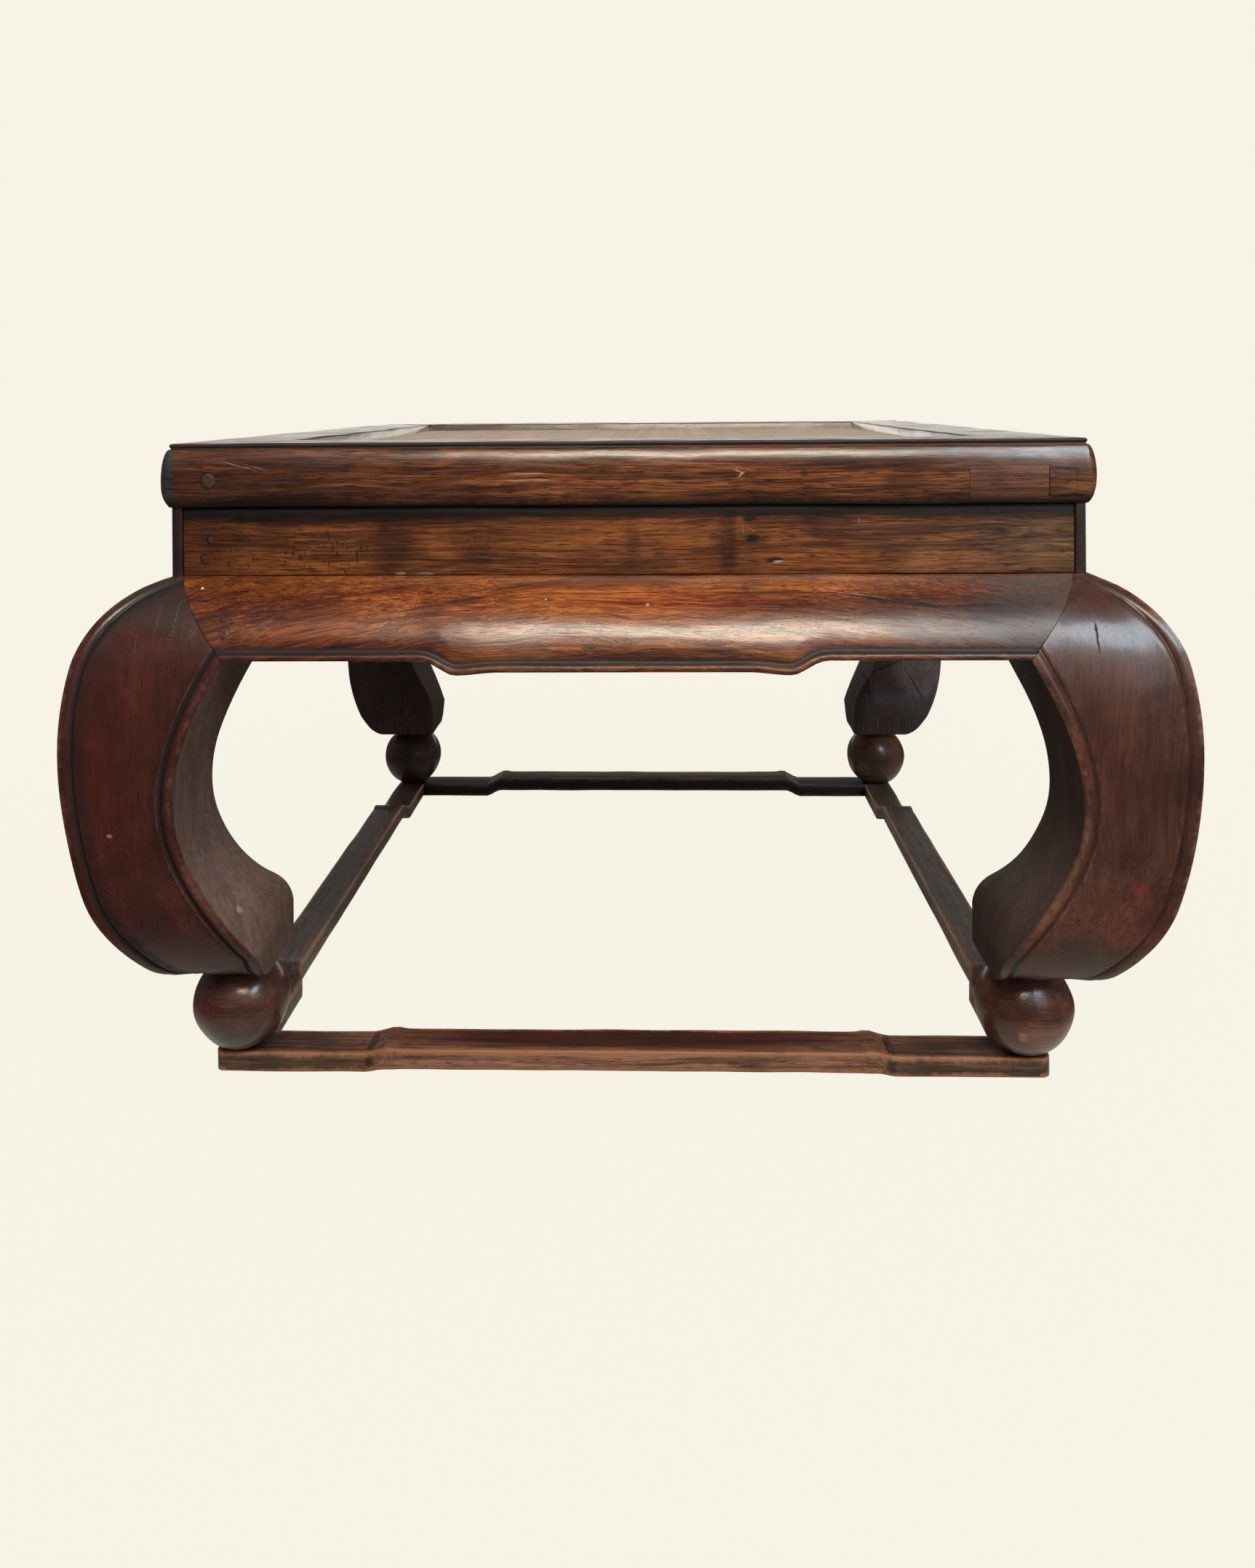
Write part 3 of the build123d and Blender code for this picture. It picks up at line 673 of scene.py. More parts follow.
corners = {"front_left": (-1, -1), "front_right": (1, -1), "back_left": (-1, 1), "back_right": (1, 1)}
ball_tones = {
    "front_left": ((0.020, 0.009, 0.008), (0.060, 0.020, 0.016), (0.115, 0.046, 0.030)),
    "front_right": ((0.026, 0.010, 0.007), (0.082, 0.026, 0.017), (0.160, 0.062, 0.036)),
    "back_left": ((0.020, 0.011, 0.009), (0.052, 0.028, 0.021), (0.086, 0.048, 0.035)),
    "back_right": ((0.040, 0.018, 0.013), (0.115, 0.054, 0.035), (0.190, 0.094, 0.058)),
}
ball_x = top_width / 2 - ball_inset
ball_y = top_depth / 2 - ball_inset
ball_marks = {
    "front_left": [
        stain_and_painted_light(-ball_x - 0.014, 0.047, 0.014, 0.010, (1.6, 0.6, 0.7), 0.8, 0.010),
        stain_and_painted_light(-ball_x + 0.010, 0.040, 0.006, 0.008, (2.2, 2.0, 1.5), 0.6, 0.010),
    ],
    "front_right": [
        stain_and_painted_light(ball_x - 0.006, 0.038, 0.013, 0.012, (1.8, 1.6, 1.4), 0.6, 0.012),
        stain_and_painted_light(ball_x - 0.009, 0.036, 0.004, 0.004, (0.300, 0.120, 0.045), 0.7, 0.006, cover=1.0),
    ],
}
for number, (corner, (sx, sy)) in enumerate(corners.items()):
    bm = ball(11 + number)
    bmesh.ops.translate(bm, verts=bm.verts, vec=(sx * ball_x, sy * ball_y, 0))
    rough, wax, wax_rough = (0.11, 1.0, 0.34) if sy < 0 else (0.30, 0.3, 0.11)
    finish = old_wood("lacquer_ball_" + corner, "x", 21 + number, *ball_tones[corner],
                      (0.17, 0.075, 0.042), ball_marks.get(corner, ()), waver=0.03, rough=rough,
                      wax=wax, wax_rough=wax_rough, coarse=0.5)
    set_down("ball_" + corner + "_turned", bm, [finish], "hardwood_dark", "ball_" + corner)


# ==== Legs ====================================================================
# Each leg is sawn from one thick block: square in section, bowed out like a
# drum on both faces and turned in again at the toe, with a raised bead along
# every edge.  Its top carries the square post that the waist laps over.

sole_level = ball_bottom + ball_height
leg_height = 0.2727
leg_top = sole_level + leg_height
belly_out = 0.0553
shoulder_out = 0.002
sole_in = 0.001
toe_in = 0.0613
toe_level = sole_level + 0.0275
belly_share = 0.619
shoulder_shares = [(0.906, 0.806), (0.718, 0.901), (0.450, 0.960)]
calf_shares = [(0.940, 0.417), (0.806, 0.255), (0.586, 0.132), (0.271, 0.036)]
throat_shares = (0.297, 0.473)
upper_inner_shares = [(0.375, 0.600), (0.538, 0.703)]
lower_inner_shares = [(0.367, 0.369), (0.522, 0.281), (0.816, 0.188)]
face_lower_shares = [(0.367, 0.369), (0.522, 0.281), (0.791, 0.165)]
face_toe_level = sole_level + 0.0205
mitre_top_in = 0.008
mitre_foot_in = 0.049
apron_edge_level = leg_top - 0.0482
waist_height = 0.047
waist_top = leg_top + waist_height
post_in = 0.054
post_proud = 0.0015
strip_width = 0.007
lap_face = 0.0005
lap_thickness = 0.004
overrun = 0.014


def tangent_arcs(start, heading, stops, steps=14):
    """Points along arcs that each leave the one before it smoothly."""
    points = [start]
    for stop in stops:
        chord = stop - start
        bend = cmath.phase(chord / heading)
        for step in range(1, steps + 1):
            share = step / steps
            reach = share if abs(bend) < 1e-6 else math.sin(bend * share) / math.sin(bend)
            points.append(start + heading * cmath.rect(abs(chord) * reach, bend * share))
        heading = heading * cmath.rect(1.0, 2 * bend)
        start = stop
    return points


def shares(shape, reach):
    """Points of a curve, given as shares of the leg's reach and height."""
    return [complex(across * reach, sole_level + up * leg_height) for across, up in shape]


def with_tail(points):
    """Runs a curve straight on past both of its ends."""
    first = points[0] - points[1]
    last = points[-1] - points[-2]
    before = points[0] + first / abs(first) * overrun * 2
    after = points[-1] + last / abs(last) * overrun * 2
    return [before] + points + [after]


def foot_curve(table, toe):
    """The inner edge from the throat down to the toe."""
    return tangent_arcs(throat, -1j, shares(table, toe_in) + [complex(toe_in, toe)])


belly = complex(-belly_out, sole_level + belly_share * leg_height)
shoulder = complex(-shoulder_out, leg_top)
heel = complex(sole_in, sole_level)
upper_outer = tangent_arcs(belly, 1j, shares(shoulder_shares, -belly_out) + [shoulder])
lower_outer = tangent_arcs(belly, -1j, shares(calf_shares, -belly_out) + [heel])
outer_curve = with_tail(lower_outer[::-1] + upper_outer[1:])
throat = shares([throat_shares], toe_in)[0]
mitre_foot = complex(mitre_foot_in, apron_edge_level)
upper_inner = tangent_arcs(throat, 1j, shares(upper_inner_shares, toe_in) + [mitre_foot])
sole_corner = complex(toe_in, sole_level)
lower_inner = foot_curve(lower_inner_shares, toe_level)
inner_curve = with_tail([sole_corner] + lower_inner[::-1] + upper_inner[1:])
face_lower_inner = foot_curve(face_lower_shares, face_toe_level)
face_inner_curve = with_tail([sole_corner] + face_lower_inner[::-1] + upper_inner[1:])
mitre_run = complex(mitre_top_in - mitre_foot_in, leg_top - apron_edge_level)
mitre_across = mitre_run / abs(mitre_run) * -1j


def looked_up(value, keys, values):
    """Straight-line reading from a rising table."""
    for index in range(1, len(keys)):
        if value <= keys[index] or index == len(keys) - 1:
            share = (value - keys[index - 1]) / (keys[index] - keys[index - 1])
            return values[index - 1] + (values[index] - values[index - 1]) * share


def running_lengths(points):
    """How far along a curve each of its points lies."""
    lengths = [0.0]
    for first, second in zip(points, points[1:]):
        lengths.append(lengths[-1] + abs(second - first))
    return lengths


outer_levels = [point.imag for point in outer_curve]
outer_insets = [point.real for point in outer_curve]
outer_lengths = running_lengths(outer_curve)
inner_levels = [point.imag for point in inner_curve]
inner_insets = [point.real for point in inner_curve]
face_levels = [point.imag for point in face_inner_curve]
face_insets = [point.real for point in face_inner_curve]


def face_point(across, length, sunk):
    """Place on the bowed face, unrolled: across it, along its curve, and sunk into it."""
    level = looked_up(length, outer_lengths, outer_levels)
    inset = looked_up(level, outer_levels, outer_insets)
    ahead = looked_up(level + 0.001, outer_levels, outer_insets)
    slope = (ahead - inset) / 0.001
    normal = Vector((0, -1, slope)).normalized()
    return Vector((across, inset, level)) - normal * sunk


def edge_frame(levels, insets, level, inward):
    """A point of an edge on the unrolled face, and the direction square to the edge."""
    ends = []
    for offset in (-0.003, 0.0, 0.003):
        height = level + offset
        length = looked_up(height, outer_levels, outer_lengths)
        ends.append(complex(looked_up(height, levels, insets), length))
    run = ends[2] - ends[0]
    return ends[1], run / abs(run) * (-1j * inward)


# Each step of a bead: how far it is from the edge, how deep it is sunk, how rubbed, and how dark with dirt
# and painted shade, in the groove and in the band of the field beside it.
outer_bead = [(0.0022, 0.0004, 0.65, 0.10), (0.0042, 0.0000, 0.40, 0.10), (0.0060, 0.0003, 0.10, 0.20),
              (0.0072, 0.0011, 0.00, 0.60), (0.0082, 0.0019, 0.00, 1.00), (0.0091, 0.0019, 0.00, 1.00),
              (0.0101, 0.0012, 0.00, 0.50), (0.0110, 0.0009, 0.60, 0.35), (0.0140, 0.0009, 0.20, 0.42),
              (0.0190, 0.0011, 0.00, 0.25)]
inner_bead = [(0.0160, 0.0010, 0.00, 0.20), (0.0115, 0.0009, 0.20, 0.38), (0.0104, 0.0009, 0.75, 0.00),
              (0.0095, 0.0015, 0.00, 0.70), (0.0087, 0.0020, 0.00, 1.00), (0.0077, 0.0019, 0.00, 1.00),
              (0.0068, 0.0010, 0.00, 0.60), (0.0052, 0.0002, 0.30, 0.20), (0.0034, 0.0000, 0.60, 0.10),
              (0.0018, 0.0004, 0.70, 0.00), (0.0008, 0.0010, 0.60, 0.00)]
field_steps = 10
side_steps = 9


def leg_ring(level):
    """Half of the leg's outline at one level, from its outer corner round to the inner one."""
    out = looked_up(level, outer_levels, outer_insets)
    deep = looked_up(level, inner_levels, inner_insets)
    near = looked_up(level, face_levels, face_insets)
    crest = 0.0005
    ring = [(Vector((out + crest, out + crest, level)), 0.8, 0.0)]
    start, inward = edge_frame(outer_levels, outer_insets, level, 1)
    for distance, sunk, rub, soil_and_shade in outer_bead:
        spot = start + inward * distance
        ring.append((face_point(spot.real, spot.imag, sunk), rub, soil_and_shade))
    start, inward = edge_frame(face_levels, face_insets, level, -1)
    beads = []
    for distance, sunk, rub, soil_and_shade in inner_bead:
        spot = start + inward * distance
        beads.append((face_point(spot.real, spot.imag, sunk), rub, soil_and_shade))
    left, right = ring[-1][0], beads[0][0]
    for step in range(1, field_steps):
        share = step / field_steps
        point = left.lerp(right, share)
        crown = 0.0007 * math.sin(math.pi * share)
        length = looked_up(point.z, outer_levels, outer_lengths)
        ring.append((face_point(point.x, length, 0.0011 - crown), 0.0, 0.0))
    ring += beads
    corner = Vector((near, out, level))
    ring.append((corner + Vector((-0.0002, 0.0012, 0)), 0.6, 0.0))
    ring.append((corner + Vector((0, 0.0030, 0)), 0.3, 0.0))
    for step in range(1, side_steps + 1):
        share = step / side_steps
        across = near + (deep - near) * share
        inset = out + 0.003 + (deep - out - 0.005) * share
        ring.append((Vector((across, inset, level)), 0.0, 0.0))
    ring.append((Vector((deep - 0.0005, deep - 0.0005, level)), 0.6, 0.0))
    return ring


def leg(seed, grime_and_shade):
    """The leg in plan insets from the table's corner, with both halves and its post."""
    low, high = sole_level - overrun, leg_top + overrun * 0.6
    toe_end, mitre_start = sole_level + 0.06, leg_top - 0.06
    fine, plain = 0.0022, 0.0042
    levels = spaced(low, toe_end, fine)[:-1] + spaced(toe_end, mitre_start, plain)
    levels += spaced(mitre_start, high, fine)[1:]
    for toe in (toe_level, face_toe_level):
        nearest = min(range(len(levels)), key=lambda index: abs(levels[index] - toe))
        levels[nearest] = toe
    rings = [leg_ring(level) for level in levels]
    rubbed = [item[1] for item in rings[0]]
    soiled_and_shaded = [item[2] * grime_and_shade for item in rings[0]]
    inside = len(rubbed) - side_steps - 2
    unhandled = 0.9
    matt = [0.0] * inside + [unhandled] * (side_steps + 2)
    bm = loft([[item[0] for item in ring] for ring in rings], False, rubbed, soiled_and_shaded, matt)
    copy = bmesh.ops.duplicate(bm, geom=bm.verts[:] + bm.edges[:] + bm.faces[:])["geom"]
    swap = Matrix(((0, 1, 0, 0), (1, 0, 0, 0), (0, 0, 1, 0), (0, 0, 0, 1)))
    bmesh.ops.transform(bm, matrix=swap, verts=only_verts(copy))
    bmesh.ops.remove_doubles(bm, verts=bm.verts, dist=1e-5)
    bmesh.ops.recalc_face_normals(bm, faces=bm.faces)
    hand_worked(bm, seed, 0.0006, (0.030, 0.030, 0.055))
    trim(bm, (0, 0, sole_level), (0, 0, -1))
    trim(bm, (0, 0, leg_top), (0, 0, 1))
    trim(bm, (mitre_foot_in, 0, apron_edge_level), (mitre_across.real, 0, mitre_across.imag))
    trim(bm, (0, mitre_foot_in, apron_edge_level), (0, mitre_across.real, mitre_across.imag))
    return joined(bm, post())


def post():
    """An L-shaped prism: the corner strip stands proud and the rest is rebated for the waist."""
    bm = bmesh.new()
    soiled_and_shaded = bm.verts.layers.float.new("soiled_and_shaded")
    near, strip, back, far = -post_proud, strip_width - post_proud, lap_face + lap_thickness, post_in
    sunk = 0.006
    outline = [(near, near), (strip, near), (strip, back), (far, back),
               (far, far), (back, far), (back, strip), (near, strip)]
    face = bm.faces.new([bm.verts.new((x, y, leg_top - sunk)) for x, y in outline])
    top = bmesh.ops.extrude_face_region(bm, geom=[face])["geom"]
    bmesh.ops.translate(bm, verts=only_verts(top), vec=(0, 0, waist_height + sunk + 0.0006))
    upright = [edge for edge in bm.edges if abs(edge.verts[0].co.z - edge.verts[1].co.z) > 0.01
               and edge.verts[0].co.x < 0.01 and edge.verts[0].co.y < 0.01]
    bmesh.ops.bevel(bm, geom=upright, offset=0.0011, segments=3, profile=0.5, affect="EDGES",
                    material=-1)
    for vert in bm.verts:
        vert[soiled_and_shaded] = 0.55
    return bm


leg_tones = {
    "front_left": ((0.033, 0.0080, 0.0055), (0.053, 0.0100, 0.0065), (0.078, 0.0165, 0.0095)),
    "front_right": ((0.035, 0.0118, 0.0078), (0.066, 0.0215, 0.0135), (0.102, 0.0365, 0.0222)),
    "back_left": ((0.034, 0.013, 0.009), (0.060, 0.022, 0.015), (0.090, 0.036, 0.024)),
    "back_right": ((0.036, 0.014, 0.010), (0.064, 0.024, 0.016), (0.096, 0.039, 0.026)),
}
# Colour of each leg's dull inner sides: dust together with painted light, pale on the front left leg as if
# lit, and dark on the others as if in shade.
leg_dust_and_painted_light = {"front_left": (0.125, 0.078, 0.060), "front_right": (0.046, 0.030, 0.028),
            "back_left": (0.044, 0.031, 0.027), "back_right": (0.044, 0.032, 0.028)}
# How strongly each leg's grooves and the field beside its beads are darkened: dirt and painted shade,
# strongest on the front left leg.
leg_grime_and_shade = {"front_left": 1.35, "front_right": 0.5, "back_left": 1.0, "back_right": 1.0}
leg_worn = {"front_left": (0.130, 0.060, 0.040), "front_right": (0.200, 0.090, 0.046),
            "back_left": (0.120, 0.056, 0.036), "back_right": (0.140, 0.066, 0.042)}
leg_x = top_width / 2
leg_y = top_depth / 2
post_shade = [stain_and_painted_light(x * 0.306, 0.376, 0.016, 0.026, (0.55, 0.60, 0.70), 0.9, 0.002) for x in (-1, 1)]
leg_marks = {
    "front_left": post_shade + [
        stain_and_painted_light(-0.335, 0.215, 0.030, 0.085, (1.30, 0.80, 0.80), 0.6, 0.020),
        stain_and_painted_light(-0.285, 0.130, 0.060, 0.045, (1.50, 1.65, 1.80), 0.7, 0.020),
        # A greyish cover over the shoulder: painted sheen.
        stain_and_painted_light(-0.300, 0.336, 0.060, 0.018, (0.052, 0.038, 0.032), 0.60, 0.012, 0.0, 1.0),
        stain_and_painted_light(-0.2930, 0.3260, 0.0003, 0.0150, (0.15, 0.11, 0.09), 0.50, 0.005, 0.0, 1.0),
        stain_and_painted_light(-0.3050, 0.3230, 0.0003, 0.0130, (0.15, 0.11, 0.09), 0.45, 0.006, 0.0, 1.0),
        stain_and_painted_light(-0.3160, 0.3130, 0.0003, 0.0100, (0.15, 0.11, 0.09), 0.40, 0.005, 0.0, 1.0),
        stain_and_painted_light(-0.3190, 0.2830, 0.0022, 0.0030, (1.60, 1.50, 1.40), 0.60, 0.006),
        stain_and_painted_light(-0.3000, 0.2600, 0.0300, 0.0400, (1.35, 1.15, 1.00), 0.55, 0.024),
        stain_and_painted_light(-0.2750, 0.2000, 0.0200, 0.0500, (0.80, 0.75, 0.85), 0.60, 0.016),
        stain_and_painted_light(-0.2505, 0.1270, 0.0200, 0.0030, (0.42, 0.32, 0.28), 0.7, 0.005, 0.0, 1.0, -0.341, 0.0035),
        stain_and_painted_light(-0.2500, 0.1600, 0.0300, 0.0250, (0.75, 0.72, 0.72), 0.7, 0.020, 0.0, 0.0, -0.330),
        stain_and_painted_light(-0.3311, 0.1895, 0.0020, 0.0016, (0.30, 0.24, 0.20), 0.8, 0.002, 0.0, 1.0),
    ],
    "front_right": post_shade + [
        stain_and_painted_light(0.3272, 0.1550, 0.0075, 0.0065, (0.150, 0.016, 0.016), 0.65, 0.014, 0.0, 1.0),
        stain_and_painted_light(0.3250, 0.1300, 0.0250, 0.0220, (1.30, 0.85, 0.90), 0.6, 0.014),
        stain_and_painted_light(0.3015, 0.3140, 0.0009, 0.0130, crack, 1.0, 0.003, 0.0, 1.0),
        stain_and_painted_light(0.3110, 0.2300, 0.0300, 0.0500, (1.30, 1.10, 1.00), 0.5, 0.018),
        stain_and_painted_light(0.3000, 0.1300, 0.0600, 0.0450, (1.60, 1.60, 1.60), 0.8, 0.018),
        stain_and_painted_light(0.2850, 0.2450, 0.0250, 0.0300, (1.25, 1.10, 1.00), 0.5, 0.018),
        stain_and_painted_light(0.2880, 0.3330, 0.0200, 0.0120, (0.80, 0.95, 1.05), 0.7, 0.010),
        stain_and_painted_light(0.2600, 0.2650, 0.0250, 0.0550, (0.110, 0.085, 0.080), 0.6, 0.016, 0.0, 1.0, -0.290),
    ],
    "back_right": [
        # A pale bluish patch: painted highlight; a narrow darker band to its left: painted shade.
        stain_and_painted_light(0.3250, 0.1450, 0.0300, 0.0300, (2.60, 2.90, 3.10), 0.8, 0.012, y=0.285),
        stain_and_painted_light(0.2550, 0.1350, 0.0100, 0.0600, (0.50, 0.52, 0.55), 0.8, 0.006, y=0.300),
        stain_and_painted_light(0.2650, 0.1350, 0.0010, 0.0300, crack, 1.0, 0.004, 0.0, 1.0, 0.285),
        stain_and_painted_light(0.2900, 0.1500, 0.0260, 0.0011, crack, 0.9, 0.004, 0.36, 1.0, 0.285),
        stain_and_painted_light(0.3215, 0.1270, 0.0095, 0.0018, crack, 1.0, 0.004, -1.9, 1.0, 0.285),
    ],
}
for number, (corner, (sx, sy)) in enumerate(corners.items()):
    bm = leg(31 + number, leg_grime_and_shade[corner])
    place = Matrix.Translation((sx * leg_x, sy * leg_y, 0)) @ Matrix.Diagonal((-sx, -sy, 1, 1))
    bmesh.ops.transform(bm, matrix=place, verts=bm.verts)
    rough, wax, wax_rough = (0.17, 1.0, 0.40) if sy < 0 else (0.45, 0.12, 0.17)
    finish = old_wood("lacquer_leg_" + corner, "z", 41 + number, *leg_tones[corner], leg_worn[corner],
                      leg_marks.get(corner, ()), waver=0.030, rough=rough, wax=wax, wax_rough=wax_rough,
                      coarse=0.5, dust=leg_dust_and_painted_light[corner])
    set_down("leg_" + corner + "_beaded", bm, [finish], "hardwood_dark", "leg_" + corner)


# ==== Aprons ==================================================================
# A board on each side carries the legs' bow across, mitred to them.  Its lower
# edge drops along the middle with an ogee at each end, a bead follows the edge,
# and the back is hollowed.

apron_drop = 0.007
apron_drop_inset = 0.177
apron_drop_run = 0.051
apron_crest_run = 0.024
apron_crest_dip = 0.0018
apron_top_thickness = 0.013
apron_thickness = 0.026
apron_web = 0.006
apron_hollow = 0.004

apron_bead = [(0.0005, 0.0010, 0.00, 0.70), (0.0016, 0.0003, 0.20, 0.55), (0.0030, 0.0000, 0.50, 0.40),
              (0.0044, 0.0003, 0.00, 0.70), (0.0055, 0.0012, 0.00, 0.90), (0.0065, 0.0020, 0.00, 1.00),
              (0.0077, 0.0022, 0.00, 1.00), (0.0092, 0.0017, 0.20, 0.50), (0.0120, 0.0012, 0.00, 0.15),
              (0.0165, 0.0008, 0.00, 0.00)]
apron_field_steps = 12


def apron_low_edge(x, length):
    """Level of the lower edge at a distance from the middle."""
    drop_x = length / 2 - apron_drop_inset
    crest_x = drop_x - apron_crest_run
    flat_x = drop_x - apron_drop_run
    lowest = apron_drop + apron_crest_dip
    away = abs(x)
    if away >= drop_x:
        return apron_edge_level
    if away >= crest_x:
        share = (drop_x - away) / apron_crest_run
        return apron_edge_level - lowest * share * share * (3 - 2 * share)
    share = min(1.0, (crest_x - away) / (crest_x - flat_x))
    return apron_edge_level - lowest + apron_crest_dip * share * share * (3 - 2 * share)


hollow_top = complex(apron_top_thickness - shoulder_out, leg_top - apron_web)
hollow_low = complex(apron_thickness - belly_out,
                     apron_edge_level - apron_drop - apron_crest_dip - apron_web)
hollow_chord = hollow_low - hollow_top
hollow_span = abs(hollow_chord)
hollow_bend = 2 * math.atan2(2 * apron_hollow * abs(hollow_chord.imag) / hollow_span, hollow_span)
hollow_heading = hollow_chord / hollow_span * cmath.rect(1.0, -hollow_bend)
hollow_curve = tangent_arcs(hollow_top, hollow_heading, [hollow_low])
hollow_levels = [point.imag for point in hollow_curve][::-1]
hollow_insets = [point.real for point in hollow_curve][::-1]


def apron_ring(x, length):
    """The apron's section at one place along it, from the bead up the face and down the back."""
    level = apron_low_edge(x, length)
    ahead = apron_low_edge(x + 0.0015, length)
    behind = apron_low_edge(x - 0.0015, length)
    start = complex(x, looked_up(level, outer_levels, outer_lengths))
    rise = (looked_up(ahead, outer_levels, outer_lengths)
            - looked_up(behind, outer_levels, outer_lengths))
    inward = complex(0.003, rise) / abs(complex(0.003, rise)) * 1j
    ring = []
    for distance, sunk, rub, soil_and_shade in apron_bead:
        spot = start + inward * distance
        ring.append((face_point(spot.real, spot.imag, sunk), rub, soil_and_shade))
    low_length = looked_up(ring[-1][0].z, outer_levels, outer_lengths)
    top_length = looked_up(leg_top, outer_levels, outer_lengths)
    for step in range(1, apron_field_steps + 1):
        share = step / apron_field_steps
        length_here = low_length + (top_length - low_length) * share
        sunk = 0.0009 * (1 - share) - 0.0003 * math.sin(math.pi * share)
        soil_and_shade = 0.25 if step == apron_field_steps else 0.0
        ring.append((face_point(x, length_here, max(0.0, sunk)), 0.0, soil_and_shade))
    ring.append((Vector((x, apron_top_thickness, leg_top)), 0.0, 0.0))
    ring.append((Vector((x, apron_top_thickness, leg_top - apron_web)), 0.0, 0.0))
    for step in range(5):
        share = step / 4
        height = hollow_top.imag + (level - hollow_top.imag) * share
        inset = looked_up(height, hollow_levels, hollow_insets)
        ring.append((Vector((x, inset, height)), 0.0, 0.0))
    front = looked_up(level, outer_levels, outer_insets)
    back = looked_up(level, hollow_levels, hollow_insets)
    for share, rub in ((0.5, 0.0), (0.94, 0.3)):
        ring.append((Vector((x, back + (front - back) * share, level)), rub, 0.0))
    return ring


def apron(length, seed):
    """One apron along X with its mitred ends, set by its distance from the table's face."""
    reach = length / 2 + 0.004
    places = spaced(-reach, reach, 0.0042)
    rings = [apron_ring(x, length) for x in places]
    bm = loft([[item[0] for item in ring] for ring in rings], True, [item[1] for item in rings[0]],
              [item[2] for item in rings[0]])
    bmesh.ops.recalc_face_normals(bm, faces=bm.faces)
    hand_worked(bm, seed, 0.0007, (0.060, 0.030, 0.022))
    for end in (-1, 1):
        foot = (end * (length / 2 - mitre_foot_in - seam), 0, apron_edge_level)
        trim(bm, foot, Vector((end * mitre_across.real, 0, -mitre_across.imag)))
        trim(bm, (end * (length / 2 - seam), 0, 0), Vector((end, 1, 0)).normalized())
    return bm


def round_hole(x, y, z, radius, depth):
    """A round bar that runs from (x, y, z) towards the front."""
    bm = bmesh.new()
    turn = Matrix.Translation((x, y - depth / 2, z)) @ Matrix.Rotation(math.pi / 2, 4, "X")
    bmesh.ops.create_cone(bm, cap_ends=True, segments=28, radius1=radius, radius2=radius,
                          depth=depth, matrix=turn)
    return bm


